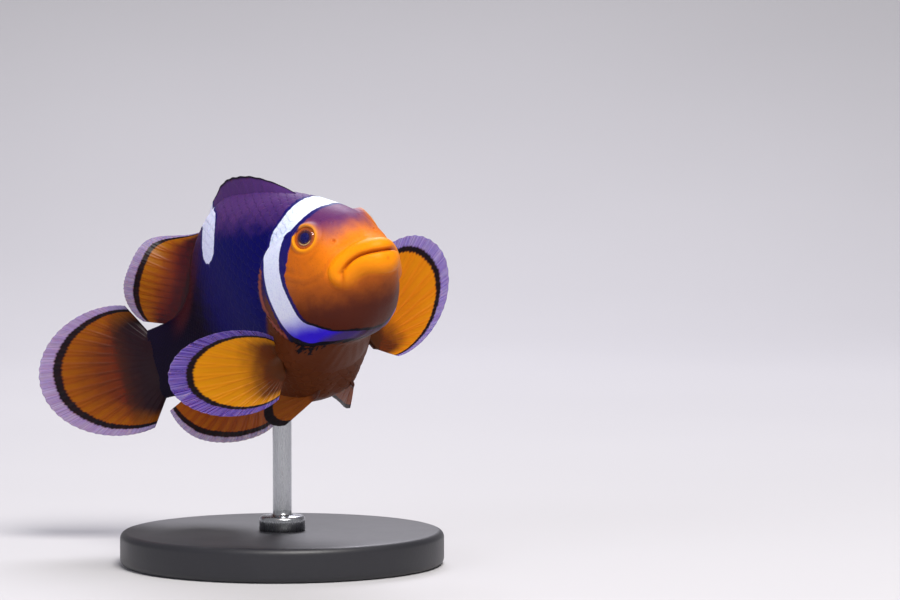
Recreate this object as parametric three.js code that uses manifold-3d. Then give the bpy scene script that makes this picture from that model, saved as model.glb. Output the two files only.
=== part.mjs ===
// Clownfish (orange, white and black) as a still, life-size model on a plain display stand.
// Millimetres, +Z up. The origin is the middle of the stand's underside and +X is where the head points.
//
// The fish is worked out in its own straightened frame first, in hundredths of its standard length:
// "along" runs back from the snout, "side" to the fish's left and "up" to its back.
// placeFish() then bends that frame along the spine, banks it and sets it over the stand.

import * as THREE from 'three';
import Module from 'manifold-3d';

// ---------------------------------------------------------------- driving dimensions

const standardLength = 65; // snout to the end of the tail stem
const unit = standardLength / 100;
const gap = 0.3; // clearance between neighbouring pieces
const restGap = 0.02; // between the rod's foot and the base it stands on
const finThickness = 0.6;

const standRadius = 24;
const standHeight = 5;
const standEdge = 1; // rounding of the base's rims
const rodRadius = 1.4;
const spineHeight = 41; // spine above the floor, over the rod
const stationOverRod = 45;
const baseSides = 40;
const rodSides = 20;

// Attitude, in degrees: nose up, left flank up, then how the spine turns over a stretch of stations.
const nosePitch = 5.4;
const bankAngle = 12.2;
const turnsToTheRight = [
  { from: 14, to: 40, angle: -5.5 },
  { from: 42, to: 68, angle: 2.5 },
  { from: 68, to: 100, angle: 43 },
  { from: 90, to: 110, angle: 16 },
  { from: 100, to: 128, angle: 4 },
];
const turnsDown = [
  { from: 8, to: 46, angle: 14.5 },
  { from: 50, to: 76, angle: 9 },
  { from: 72, to: 98, angle: -18 },
];
const twist = [{ from: 62, to: 96, angle: -4 }];

// Body sections: half width, height of the back and of the belly, and where the section is widest.
const bodyStations = [
  { along: 0, back: 0.6, belly: -0.6, halfWidth: 0.6, widest: 0 },
  { along: 1.5, back: 3.8, belly: -5.2, halfWidth: 3.6, widest: 0 },
  { along: 5, back: 4.9, belly: -11, halfWidth: 6.2, widest: -0.3 },
  { along: 12, back: 11.2, belly: -16.3, halfWidth: 10.7, widest: -1 },
  { along: 20, back: 14.9, belly: -18, halfWidth: 12.8, widest: -2.2 },
  { along: 30, back: 18.8, belly: -22.6, halfWidth: 13, widest: -4.5 },
  { along: 42, back: 22.6, belly: -27.6, halfWidth: 13.4, widest: -4.5 },
  { along: 55, back: 25.2, belly: -24.8, halfWidth: 11.6, widest: -2.5 },
  { along: 68, back: 22.3, belly: -18.6, halfWidth: 8.8, widest: -0.5 },
  { along: 80, back: 14.2, belly: -12.4, halfWidth: 6, widest: 0.2 },
  { along: 90, back: 9.6, belly: -8.8, halfWidth: 4, widest: 0.3 },
  { along: 97, back: 8.8, belly: -8.2, halfWidth: 2.7, widest: 0.3 },
  { along: 100, back: 8.6, belly: -8, halfWidth: 1.3, widest: 0.3 },
];
const backFullness = 1.85; // 2 is an ellipse, less is a sharper back
const bellyFullness = 2.35;
const snoutLength = 8; // over this length the widest line drops from the tip's middle to its stations

const eye = { along: 16.3, side: 7.05, up: 6.85, radius: 3.4 };
const brow = { along: 16, side: 9, up: 8.8, reach: 3.6, height: 0.6 }; // skin that swells over the eye

// The mouth's slit runs round the snout. Its height is up - drop (way / corner)^power, where "way" is the
// distance from the snout's tip in plan, and one side hangs a little lower.
const mouth = { up: 1.8, drop: 3.9, power: 3.2, tilt: 0.11, corner: 10.3, cornerAlong: 7.2, samples: 24 };
const lips = { upperWidth: 3.1, upperHeight: 0.85, lowerWidth: 4.2, lowerHeight: 0.75, fullness: 0.75 };
const slit = { depth: 0.5, softness: 0.5 };
const lipReach = 15; // no lip behind this station

// Where the body is parted into its named lengths.
const headEnd = 36;
const trunkEnd = 80;
const stemEnd = 100;
const ringSides = 38;
const sideCrowding = 0.12; // draws the points of a section towards its flanks, where the mouth runs

// ---------------------------------------------------------------- small helpers

const radians = THREE.MathUtils.degToRad;
const clamp01 = (t) => Math.min(1, Math.max(0, t));
const ease = (t) => clamp01(t) ** 2 * (3 - 2 * clamp01(t));
const bump = (distance, softness) => Math.exp(-((distance / softness) ** 2));

// A curve through the stations that never overshoots, read at the square root of the station
// so that the blunt snout comes out round.
function stationCurve(key) {
  const at = bodyStations.map((row) => Math.sqrt(row.along));
  const value = bodyStations.map((row) => row[key]);
  const last = at.length - 1;
  const secant = at.slice(1).map((end, i) => (value[i + 1] - value[i]) / (end - at[i]));
  const slope = at.map((_, i) => {
    if (i === 0) return secant[0];
    if (i === last) return secant[last - 1];
    const product = secant[i - 1] * secant[i];
    return product > 0 ? (2 * product) / (secant[i - 1] + secant[i]) : 0;
  });
  return (along) => {
    const q = Math.sqrt(Math.max(0, along));
    let i = 0;
    while (i < last - 1 && q > at[i + 1]) i += 1;
    const width = at[i + 1] - at[i];
    const t = Math.min(1, (q - at[i]) / width);
    const rise = value[i + 1] - value[i];
    const lead = slope[i] * width;
    const tail = slope[i + 1] * width;
    return value[i] + t * (lead + t * (3 * rise - 2 * lead - tail + t * (lead + tail - 2 * rise)));
  };
}

const backAt = stationCurve('back');
const bellyAt = stationCurve('belly');
const halfWidthAt = stationCurve('halfWidth');
const widestAt = stationCurve('widest');

// ---------------------------------------------------------------- spine and attitude

function sumTurns(turns, along) {
  const turned = (turn) => radians(turn.angle) * ease((along - turn.from) / (turn.to - turn.from));
  return turns.reduce((sum, turn) => sum + turned(turn), 0);
}

function spineFrame(along) {
  const right = sumTurns(turnsToTheRight, along);
  const down = sumTurns(turnsDown, along);
  const roll = sumTurns(twist, along);
  const back = new THREE.Vector3(
    -Math.cos(right) * Math.cos(down),
    -Math.sin(right) * Math.cos(down),
    -Math.sin(down),
  );
  const level = new THREE.Vector3(-Math.sin(right), Math.cos(right), 0);
  const upright = new THREE.Vector3().crossVectors(level, back);
  const side = level.clone().multiplyScalar(Math.cos(roll)).addScaledVector(upright, Math.sin(roll));
  const up = upright.multiplyScalar(Math.cos(roll)).addScaledVector(level, -Math.sin(roll));
  return { back, side, up };
}

const spineStep = 0.5;
const spineLength = 130;
const spinePoints = [new THREE.Vector3()];
for (let i = 0; i * spineStep < spineLength; i += 1) {
  const middle = spineFrame((i + 0.5) * spineStep);
  spinePoints.push(spinePoints[i].clone().addScaledVector(middle.back, spineStep));
}

function bendAlongSpine(point) {
  const along = THREE.MathUtils.clamp(point.x, 0, spineLength);
  const index = Math.min(spinePoints.length - 2, Math.floor(along / spineStep));
  const frame = spineFrame(along);
  return spinePoints[index]
    .clone()
    .lerp(spinePoints[index + 1], along / spineStep - index)
    .addScaledVector(frame.back, point.x - along)
    .addScaledVector(frame.side, point.y)
    .addScaledVector(frame.up, point.z);
}

const attitude = new THREE.Matrix4()
  .makeRotationY(-radians(nosePitch))
  .multiply(new THREE.Matrix4().makeRotationX(radians(bankAngle)));
const overRod = bendAlongSpine(new THREE.Vector3(stationOverRod, 0, 0)).applyMatrix4(attitude);
const stride = new THREE.Vector3(-overRod.x, -overRod.y, spineHeight / unit - overRod.z);

// From the straightened fish (x along, y side, z up) to its place over the stand, in millimetres.
function placeFish(point) {
  return bendAlongSpine(point).applyMatrix4(attitude).add(stride).multiplyScalar(unit);
}

// ---------------------------------------------------------------- body surface

const slitUpAt = (way) => mouth.up - mouth.drop * (way / mouth.corner) ** mouth.power;
const slitPoints = [];
for (let i = 0; i <= mouth.samples; i += 1) {
  const way = (mouth.corner * i) / mouth.samples;
  slitPoints.push(new THREE.Vector2(way, slitUpAt(way)));
}

// Rolls of lip above and below the slit, and the slit's groove.
function lipHeight(point) {
  if (point.x > lipReach) return 0;
  const place = new THREE.Vector2(Math.hypot(point.x, point.y), point.z + mouth.tilt * point.y);
  const distance = Math.min(...slitPoints.map((slitPoint) => slitPoint.distanceTo(place)));
  const isUpper = place.y > slitUpAt(Math.min(place.x, mouth.corner));
  const width = isUpper ? lips.upperWidth : lips.lowerWidth;
  const height = isUpper ? lips.upperHeight : lips.lowerHeight;
  const roll = Math.sin(Math.PI * Math.min(1, distance / width)) ** lips.fullness;
  return height * roll - slit.depth * bump(distance, slit.softness);
}

function browHeight(point) {
  const place = new THREE.Vector3(brow.along, brow.side, brow.up);
  const mirrored = new THREE.Vector3(point.x, Math.abs(point.y), point.z);
  return brow.height * bump(mirrored.distanceTo(place), brow.reach);
}

// One point of a section: a half oval above the widest line and a fuller one below it.
function sectionPoint(along, angle) {
  const widest = widestAt(along) * Math.min(1, along / snoutLength);
  const cosine = Math.cos(angle);
  const sine = Math.sin(angle);
  const fullness = cosine > 0 ? backFullness : bellyFullness;
  const edge = cosine > 0 ? backAt(along) : bellyAt(along);
  const power = 2 / fullness;
  return new THREE.Vector3(
    along,
    halfWidthAt(along) * Math.sign(sine) * Math.abs(sine) ** power,
    widest + (edge - widest) * Math.abs(cosine) ** power,
  );
}

function skinPoint(along, angle, growth) {
  const nudge = 0.02;
  const point = sectionPoint(along, angle);
  const round = sectionPoint(along, angle + nudge).sub(sectionPoint(along, angle - nudge));
  const ahead = sectionPoint(Math.max(0, along - nudge), angle);
  const lengthwise = sectionPoint(along + nudge, angle).sub(ahead);
  const outward = new THREE.Vector3().crossVectors(lengthwise, round).normalize();
  return point.clone().addScaledVector(outward, growth + lipHeight(point) + browHeight(point));
}

// ---------------------------------------------------------------- solids

const wasm = await Module();
wasm.setup();

function solidFrom(points, triangles) {
  const vertProperties = new Float32Array(points.length * 3);
  points.forEach((point, i) => point.toArray(vertProperties, i * 3));
  const mesh = new wasm.Mesh({ numProp: 3, vertProperties, triVerts: new Uint32Array(triangles.flat()) });
  return new wasm.Manifold(mesh);
}

function facingOut(points, triangles) {
  const solid = solidFrom(points, triangles);
  if (solid.volume() > 0) return solid;
  return solidFrom(points, triangles.map(([a, b, c]) => [a, c, b]));
}

function solidFromGeometry(geometry) {
  const position = geometry.getAttribute('position');
  const points = [];
  const known = new Map();
  const shared = [];
  for (let i = 0; i < position.count; i += 1) {
    const point = new THREE.Vector3().fromBufferAttribute(position, i);
    const key = point.toArray().map((value) => Math.round(value * 1e4) + 0).join();
    if (!known.has(key)) {
      known.set(key, points.length);
      points.push(point);
    }
    shared.push(known.get(key));
  }
  const order = geometry.index ? Array.from(geometry.index.array) : shared.map((_, i) => i);
  const triangles = [];
  for (let i = 0; i < order.length; i += 3) {
    const corners = order.slice(i, i + 3).map((corner) => shared[corner]);
    if (new Set(corners).size === 3) triangles.push(corners);
  }
  return facingOut(points, triangles);
}

// A closed length of the body between two stations, grown or shrunk by "growth".
function bodyLength(from, to, rings, growth) {
  const points = [];
  const triangles = [];
  for (let i = 0; i <= rings; i += 1) {
    const along = THREE.MathUtils.lerp(Math.sqrt(from), Math.sqrt(to), i / rings) ** 2;
    for (let j = 0; j < ringSides; j += 1) {
      const turn = (j / ringSides) * 2 * Math.PI;
      const point = skinPoint(along, turn + sideCrowding * Math.sin(2 * turn), growth);
      if (i === 0 && from > 0) point.x = from;
      if (i === rings) point.x = to === stemEnd ? to + growth : to;
      points.push(placeFish(point));
    }
  }
  const ring = (i, j) => i * ringSides + (j % ringSides);
  for (let i = 0; i < rings; i += 1) {
    for (let j = 0; j < ringSides; j += 1) {
      triangles.push([ring(i, j), ring(i, j + 1), ring(i + 1, j)]);
      triangles.push([ring(i + 1, j), ring(i, j + 1), ring(i + 1, j + 1)]);
    }
  }
  for (const [i, outward] of [[0, false], [rings, true]]) {
    const middle = points.length;
    const sum = new THREE.Vector3();
    for (let j = 0; j < ringSides; j += 1) sum.add(points[ring(i, j)]);
    points.push(sum.divideScalar(ringSides));
    for (let j = 0; j < ringSides; j += 1) {
      triangles.push(outward ? [middle, ring(i, j), ring(i, j + 1)] : [middle, ring(i, j + 1), ring(i, j)]);
    }
  }
  return facingOut(points, triangles);
}

// A side-view outline (along, up) carried sideways from one depth to another, through the bent frame.
function sideRegion(outline, growth, near, far) {
  const middle = outline.reduce((sum, p) => sum.add(p), new THREE.Vector2()).divideScalar(outline.length);
  const grown = outline.map((p) => {
    const away = p.clone().sub(middle);
    return p.clone().addScaledVector(away, growth / away.length());
  });
  if (THREE.ShapeUtils.isClockWise(grown)) grown.reverse();
  const leftHanded = ([a, b, c]) => THREE.ShapeUtils.isClockWise([grown[a], grown[b], grown[c]]);
  const faces = THREE.ShapeUtils.triangulateShape(grown, []);
  const count = grown.length;
  const atSide = (side) => grown.map((p) => placeFish(new THREE.Vector3(p.x, side, p.y)));
  const points = [...atSide(near), ...atSide(far)];
  const triangles = [];
  for (const face of faces) {
    const [a, b, c] = leftHanded(face) ? face.toReversed() : face;
    triangles.push([a, c, b]);
    triangles.push([a + count, b + count, c + count]);
  }
  for (let i = 0; i < count; i += 1) {
    const next = (i + 1) % count;
    triangles.push([i, next, i + count]);
    triangles.push([next, next + count, i + count]);
  }
  return facingOut(points, triangles);
}

// ---------------------------------------------------------------- fins

// A fin is a fan of rays. "ray" gives a point of its middle surface from u, 0 to 1 across the rays,
// and v, 0 to 1 from the root to the rim.
function finPlate(ray, across = 10, outward = 5) {
  const points = [];
  const triangles = [];
  const count = (across + 1) * (outward + 1);
  const nudge = 0.01;
  const grid = (face, i, j) => face * count + i * (outward + 1) + j;
  for (const face of [0, 1]) {
    for (let i = 0; i <= across; i += 1) {
      for (let j = 0; j <= outward; j += 1) {
        const u = i / across;
        const v = j / outward;
        const alongU = ray(Math.min(1, u + nudge), v).sub(ray(Math.max(0, u - nudge), v));
        const alongV = ray(u, Math.min(1, v + nudge)).sub(ray(u, Math.max(0, v - nudge)));
        const normal = new THREE.Vector3().crossVectors(alongU, alongV).normalize();
        const offset = (face === 0 ? 0.5 : -0.5) * (finThickness / unit);
        points.push(placeFish(ray(u, v).addScaledVector(normal, offset)));
      }
    }
  }
  for (let i = 0; i < across; i += 1) {
    for (let j = 0; j < outward; j += 1) {
      const cell = [[i, j], [i + 1, j], [i + 1, j + 1], [i, j + 1]];
      const [a, b, c, d] = cell.map(([row, column]) => grid(0, row, column));
      const [e, f, g, h] = cell.map(([row, column]) => grid(1, row, column));
      triangles.push([a, b, c], [a, c, d], [e, g, f], [e, h, g]);
    }
  }
  const rim = [];
  for (let i = 0; i < across; i += 1) rim.push([i, 0]);
  for (let j = 0; j < outward; j += 1) rim.push([across, j]);
  for (let i = across; i > 0; i -= 1) rim.push([i, outward]);
  for (let j = outward; j > 0; j -= 1) rim.push([0, j]);
  rim.forEach(([i, j], k) => {
    const [m, n] = rim[(k + 1) % rim.length];
    triangles.push([grid(0, i, j), grid(1, i, j), grid(0, m, n)]);
    triangles.push([grid(0, m, n), grid(1, i, j), grid(1, m, n)]);
  });
  return facingOut(points, triangles);
}

// A middle fin's rim waves a little over once, and has its full lean from halfway back.
const waveCount = 1.1;
const waveStart = 0.1;
const leanBy = 0.5;

// A fin on the fish's middle line, whose rays lean back from the ridge (sign 1) or the keel (sign -1).
function medianFin(fin) {
  const edge = fin.sign > 0 ? backAt : bellyAt;
  return (u, v) => {
    const along = THREE.MathUtils.lerp(fin.from, fin.to, u);
    const angle = radians(THREE.MathUtils.lerp(fin.angleFrom, fin.angleTo, u));
    const reach = v * fin.length(u);
    const lean = radians(fin.lean) * ease(u / leanBy);
    const height = reach * Math.sin(angle);
    return new THREE.Vector3(
      along + reach * Math.cos(angle),
      -height * Math.sin(lean) + fin.wave * Math.sin(2 * Math.PI * (waveCount * u + waveStart)) * v * v,
      edge(along) - fin.sign * fin.root + fin.sign * height * Math.cos(lean),
    );
  };
}

function tailFin(fin) {
  return (u, v) => {
    const share = 2 * u - 1;
    const angle = radians(fin.spread * share + fin.rise);
    const reach = v * fin.length(u);
    return new THREE.Vector3(
      fin.from + reach * Math.cos(angle),
      fin.wave * Math.sin(Math.PI * share) * v * v,
      fin.up + fin.halfBase * share + reach * Math.sin(angle),
    );
  };
}

// A paired fin: "axis" is its middle ray and "across" its root line, both as (forward, outward, up).
function pairedFin(fin, side) {
  const mirror = new THREE.Vector3(-1, side, 1);
  const axis = new THREE.Vector3(...fin.axis).normalize();
  const across = new THREE.Vector3(...fin.across);
  across.addScaledVector(axis, -axis.dot(across)).normalize();
  const normal = new THREE.Vector3().crossVectors(across, axis);
  return (u, v) => {
    const share = 2 * u - 1;
    const angle = radians(fin.spread) * share;
    const reach = v * fin.length(u);
    const curl = fin.curl * v * v + fin.wave * Math.sin(1.5 * Math.PI * share) * v * v;
    return new THREE.Vector3(-fin.along, fin.side, fin.up)
      .addScaledVector(axis, reach * Math.cos(angle))
      .addScaledVector(across, fin.halfBase * share + reach * Math.sin(angle))
      .addScaledVector(normal, curl)
      .multiply(mirror);
  };
}

// Ray lengths of a round fin: an ellipse through the root, longest at the middle ray and slimmer
// across the rays the greater "slimness" is.
function roundFin(length, slimness, spread) {
  return (u) => {
    const angle = radians(spread) * (2 * u - 1);
    return (length * Math.cos(angle)) / (Math.cos(angle) ** 2 + slimness * Math.sin(angle) ** 2);
  };
}

// A rounded hump, then a low strip up to the rear dorsal fin. The other middle fins are a rounded
// lobe, the rear dorsal with a low front corner.
const humpEnd = 0.815;
const frontDorsal = medianFin({
  sign: 1, from: 24, to: 64.5, angleFrom: 55, angleTo: 86, root: 1.6, lean: 0, wave: 0.4,
  length: (u) => {
    const share = Math.min(1, u / humpEnd) ** 0.9;
    const hump = 5 * Math.sin(Math.PI * (0.02 + 0.85 * share));
    return 1.7 + hump - 1.4 * ease((u - 0.85) / 0.15);
  },
});
const rearDorsal = medianFin({
  sign: 1, from: 66, to: 90.5, angleFrom: 42, angleTo: 26, root: 1.6, lean: 32, wave: 0.9,
  length: (u) => {
    const low = 1 - 0.7 * (1 - ease(u / 0.35)) ** 2;
    return low * (3 + 18 * Math.sin(Math.PI * (0.1 + 0.82 * u)) ** 0.9);
  },
});
const analFin = medianFin({
  sign: -1, from: 67, to: 89, angleFrom: 52, angleTo: 22, root: 1.6, lean: 12, wave: 0.7,
  length: (u) => 4.5 + 11.5 * Math.sin(Math.PI * (0.1 + 0.76 * u)) ** 0.8,
});
const tailSpread = 58;
const caudalFin = tailFin({
  from: 97, up: 0.3, halfBase: 6.6, spread: tailSpread, rise: 8, wave: 1.2,
  length: roundFin(29.3, 1.8, tailSpread),
});
const pectoral = {
  along: 35.5, side: 11.6, up: -18.5, halfBase: 2.4, spread: 62, curl: -1.5, wave: 0.8,
  across: [0.12, 0, 1],
};
const rightPectoral = pairedFin({
  ...pectoral, axis: [0, 1, 0.15], length: roundFin(29.3, 3.1, pectoral.spread),
}, -1);
const leftPectoral = pairedFin({
  ...pectoral, axis: [-0.13, 0.86, 0.56], length: roundFin(32, 2.75, pectoral.spread),
}, 1);
const pelvic = {
  along: 36, side: 4.2, up: -25.5, halfBase: 1.3, spread: 17, curl: 0.8, wave: 0.4,
  across: [0.05, 0.3, -0.95],
  length: (u) => 19 * (1 - 0.3 * Math.abs(2 * u - 1) ** 2.2),
};
const rightPelvic = pairedFin({ ...pelvic, axis: [-0.92, 0.3, 0.02] }, -1);
const leftPelvic = pairedFin({ ...pelvic, axis: [-0.97, 0.12, -0.02] }, 1);

// ---------------------------------------------------------------- head, jaw and gill covers

const halfGap = gap / unit / 2;
const farSide = 22;

// Below the mouth's slit, back to a line that runs down from its corner to the throat. Seen from the side
// the slit's way round the snout goes with the 0.75th power of the distance along.
const jawOutline = [new THREE.Vector2(-3, mouth.up)];
for (let i = 0; i <= 6; i += 1) {
  const share = i / 6;
  const up = slitUpAt(mouth.corner * share ** 0.75);
  jawOutline.push(new THREE.Vector2(mouth.cornerAlong * share, up));
}
jawOutline.push(new THREE.Vector2(10.5, -8), new THREE.Vector2(13, -20), new THREE.Vector2(-3, -20));

// The gill cover: a D with its round side to the rear.
const gill = { along: 20, up: -3.5, length: 12.6, height: 13.2, steps: 14 };
const gillOutline = [];
for (let i = 0; i <= gill.steps; i += 1) {
  const turn = -Math.PI / 2 + (Math.PI * i) / gill.steps;
  const along = gill.along + gill.length * Math.cos(turn);
  gillOutline.push(new THREE.Vector2(along, gill.up + gill.height * Math.sin(turn)));
}
const gillDepth = 2.2;
const gillNear = 2; // the cuts for the covers start this far from the middle line

const headWhole = bodyLength(0, headEnd - halfGap, 19, 0);
const bodyGrown = bodyLength(0, stemEnd, 30, gap / unit);

// What stays of the head under the gill covers, from before them to a little past the head's end.
const coreFrom = 8;
const coreTo = headEnd + 2;
const coreRings = 8;
const core = bodyLength(coreFrom, coreTo, coreRings, -gillDepth);
const coreUnderGap = bodyLength(coreFrom, coreTo, coreRings, -gillDepth - 2 * halfGap);

const eyeCentre = (side) => placeFish(new THREE.Vector3(eye.along, side * eye.side, eye.up));
const ballRound = 16;
const ballBands = 9;
function ball(centre, radius) {
  const sphere = new THREE.SphereGeometry(radius, ballRound, ballBands);
  sphere.rotateX(Math.PI / 2);
  sphere.translate(centre.x, centre.y, centre.z);
  return solidFromGeometry(sphere);
}

const jaw = headWhole.intersect(sideRegion(jawOutline, 0, -farSide, farSide));
let head = headWhole.subtract(sideRegion(jawOutline, 2 * halfGap, -farSide, farSide));
const gillCovers = {};
for (const [name, side] of [['left', 1], ['right', -1]]) {
  const near = side * gillNear;
  const far = side * farSide;
  gillCovers[name] = headWhole.intersect(sideRegion(gillOutline, 0, near, far)).subtract(core);
  head = head.subtract(sideRegion(gillOutline, 2 * halfGap, near, far).subtract(coreUnderGap));
  head = head.subtract(ball(eyeCentre(side), eye.radius * unit + gap));
}

// ---------------------------------------------------------------- stand

function standBase() {
  const profile = [new THREE.Vector2(0, 0), new THREE.Vector2(standRadius - standEdge, 0)];
  for (let i = 0; i <= 2; i += 1) {
    const turn = -Math.PI / 2 + (Math.PI * i) / 4;
    profile.push(new THREE.Vector2(
      standRadius - standEdge + standEdge * Math.cos(turn),
      standEdge + standEdge * Math.sin(turn),
    ));
  }
  for (let i = 0; i <= 2; i += 1) {
    const turn = (Math.PI * i) / 4;
    profile.push(new THREE.Vector2(
      standRadius - standEdge + standEdge * Math.cos(turn),
      standHeight - standEdge + standEdge * Math.sin(turn),
    ));
  }
  profile.push(new THREE.Vector2(0, standHeight));
  const tidy = profile.filter((p, i) => i === 0 || p.distanceTo(profile[i - 1]) > 0.01);
  return solidFromGeometry(new THREE.LatheGeometry(tidy, baseSides).rotateX(Math.PI / 2));
}

function standRod() {
  const bottom = standHeight + restGap;
  const rod = new THREE.CylinderGeometry(rodRadius, rodRadius, spineHeight - bottom, rodSides);
  rod.rotateX(Math.PI / 2);
  rod.translate(0, 0, (spineHeight + bottom) / 2);
  return solidFromGeometry(rod).subtract(bodyGrown);
}

// ---------------------------------------------------------------- scene graph

const orange = 0xe8790f;
const yellow = 0xf0a010;
const darkBrown = 0x2a1a30;
const white = 0xeef0ff;
const black = 0x1c1c20;
const steel = 0xb8bcc2;

const skinFinish = [0.45, 0]; // roughness, metalness
const finFinish = [0.5, 0];
const eyeFinish = [0.1, 0];
const baseFinish = [0.35, 0];
const rodFinish = [0.25, 0.9];

const clownfish = new THREE.Group();

function addPiece(name, solid, colour, [roughness, metalness]) {
  const mesh = solid.getMesh();
  const geometry = new THREE.BufferGeometry();
  const positions = new Float32Array(mesh.numVert * 3);
  for (let i = 0; i < mesh.numVert; i += 1) {
    for (let k = 0; k < 3; k += 1) positions[i * 3 + k] = mesh.vertProperties[i * mesh.numProp + k];
  }
  geometry.setAttribute('position', new THREE.BufferAttribute(positions, 3));
  geometry.setIndex(Array.from(mesh.triVerts));
  geometry.computeVertexNormals();
  const material = new THREE.MeshStandardMaterial({ color: colour, roughness, metalness });
  const piece = new THREE.Mesh(geometry, material);
  piece.name = name;
  clownfish.add(piece);
}

const finOf = (ray) => finPlate(ray).subtract(bodyGrown);

addPiece('head', head, orange, skinFinish);
addPiece('lower_jaw', jaw, orange, skinFinish);
addPiece('gill_cover_left', gillCovers.left, white, skinFinish);
addPiece('gill_cover_right', gillCovers.right, white, skinFinish);
addPiece('eye_left', ball(eyeCentre(1), eye.radius * unit), darkBrown, eyeFinish);
addPiece('eye_right', ball(eyeCentre(-1), eye.radius * unit), darkBrown, eyeFinish);
addPiece('trunk', bodyLength(headEnd + halfGap, trunkEnd - halfGap, 14, 0), darkBrown, skinFinish);
addPiece('tail_stem', bodyLength(trunkEnd + halfGap, stemEnd, 7, 0), darkBrown, skinFinish);
addPiece('dorsal_fin_front', finOf(frontDorsal), darkBrown, finFinish);
addPiece('dorsal_fin_rear', finOf(rearDorsal), orange, finFinish);
addPiece('anal_fin', finOf(analFin), orange, finFinish);
addPiece('tail_fin', finOf(caudalFin), orange, finFinish);
addPiece('pectoral_fin_left', finOf(leftPectoral), yellow, finFinish);
addPiece('pectoral_fin_right', finOf(rightPectoral), yellow, finFinish);
addPiece('pelvic_fin_left', finOf(leftPelvic), orange, finFinish);
addPiece('pelvic_fin_right', finOf(rightPelvic), orange, finFinish);
addPiece('stand_base', standBase(), black, baseFinish);
addPiece('stand_rod', standRod(), steel, rodFinish);

export default clownfish;
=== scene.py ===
import math
import bpy
import numpy as np
from mathutils import Matrix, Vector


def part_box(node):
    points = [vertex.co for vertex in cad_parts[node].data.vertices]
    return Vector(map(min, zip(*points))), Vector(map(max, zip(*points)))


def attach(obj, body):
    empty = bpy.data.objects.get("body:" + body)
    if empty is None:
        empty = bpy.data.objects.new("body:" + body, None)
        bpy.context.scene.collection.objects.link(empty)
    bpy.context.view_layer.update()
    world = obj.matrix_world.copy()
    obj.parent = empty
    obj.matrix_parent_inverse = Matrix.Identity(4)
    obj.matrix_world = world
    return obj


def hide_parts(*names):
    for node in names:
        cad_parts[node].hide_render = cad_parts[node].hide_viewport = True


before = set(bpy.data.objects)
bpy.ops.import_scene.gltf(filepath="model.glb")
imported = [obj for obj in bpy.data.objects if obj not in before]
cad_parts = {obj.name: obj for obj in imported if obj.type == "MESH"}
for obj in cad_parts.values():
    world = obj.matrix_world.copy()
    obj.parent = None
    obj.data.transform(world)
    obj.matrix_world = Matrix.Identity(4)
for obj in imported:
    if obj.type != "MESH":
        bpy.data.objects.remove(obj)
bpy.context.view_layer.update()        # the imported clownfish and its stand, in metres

print("frame loaded:", len(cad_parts), "nodes")


# Camera

camera = {
    "azimuth": 53.0, "elevation": 3.0, "place": (0.44897, -0.30718, 0.06764),
    "focalPixels": 3680.0, "imageWidth": 900.0,      # focal length in pixels of an image of that width
    "sensor": 36.0,
}


# The 4 x 4 matrix whose columns are an object's own right, up and back, and its place
def standing(right, up, back, place):
    columns = np.eye(4)
    columns[:3] = np.stack([right, up, back, place], -1)
    return Matrix(columns.tolist())


# back = (sin a cos e, -cos a cos e, sin e), right = (cos a, sin a, 0), up = back x right
def makeCamera():
    a, e = math.radians(camera["azimuth"]), math.radians(camera["elevation"])
    back = np.array([math.sin(a) * math.cos(e), -math.cos(a) * math.cos(e), math.sin(e)])
    right = np.array([math.cos(a), math.sin(a), 0.0])
    up = np.cross(back, right)
    data = bpy.data.cameras.new("camera")
    data.sensor_width = camera["sensor"]
    data.lens = camera["focalPixels"] * camera["sensor"] / camera["imageWidth"]
    data.clip_start, data.clip_end = 0.01, 20.0
    made = bpy.data.objects.new("camera", data)
    bpy.context.scene.collection.objects.link(made)
    made.matrix_world = standing(right, up, back, camera["place"])
    bpy.context.scene.camera = made


makeCamera()
print("camera placed")


# The fish's own frame: "along" runs back from the snout, "side" to its left and "up" to its back,
# all in hundredths of the standard length

fish = {
    "unit": 0.00065,           # a hundredth of the standard length, in metres
    "spineHeight": 41 / 0.65,  # over the floor at the rod: 41 mm
    "stationOverRod": 45.0,
    "nosePitch": 5.4, "bankAngle": 12.2,
    # how the spine turns on its way back: from, to, degrees
    "turnsRight": ((14, 40, -5.5), (42, 68, 2.5), (68, 100, 43), (90, 110, 16), (100, 128, 4)),
    "turnsDown": ((8, 46, 14.5), (50, 76, 9), (72, 98, -18)),
    "twist": ((62, 96, -4),),
    "stations": (              # along, back, belly, half width, height of the widest line
        (0, 0.6, -0.6, 0.6, 0), (1.5, 3.8, -5.2, 3.6, 0), (5, 4.9, -11.0, 6.2, -0.3),
        (12, 11.2, -16.3, 10.7, -1), (20, 14.9, -18.0, 12.8, -2.2), (30, 18.8, -22.6, 13.0, -4.5),
        (42, 22.6, -27.6, 13.4, -4.5), (55, 25.2, -24.8, 11.6, -2.5), (68, 22.3, -18.6, 8.8, -0.5),
        (80, 14.2, -12.4, 6.0, 0.2), (90, 9.6, -8.8, 4.0, 0.3), (97, 8.8, -8.2, 2.7, 0.3),
        (100, 8.6, -8.0, 1.3, 0.3),
    ),
    "backFullness": 1.85,      # 2 is an ellipse, less is a sharper back
    "bellyFullness": 2.35,
}


# 0 below 0, 1 above 1, and t^2 (3 - 2t) between
def ease(t):
    t = np.clip(t, 0, 1)
    return t * t * (3 - 2 * t)


# exp(-(distance / softness)^2)
def bump(distance, softness):
    return np.exp(-(distance / softness) ** 2)


def unitVector(v):
    return v / np.maximum(np.linalg.norm(v, axis=-1, keepdims=True), 1e-12)


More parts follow.
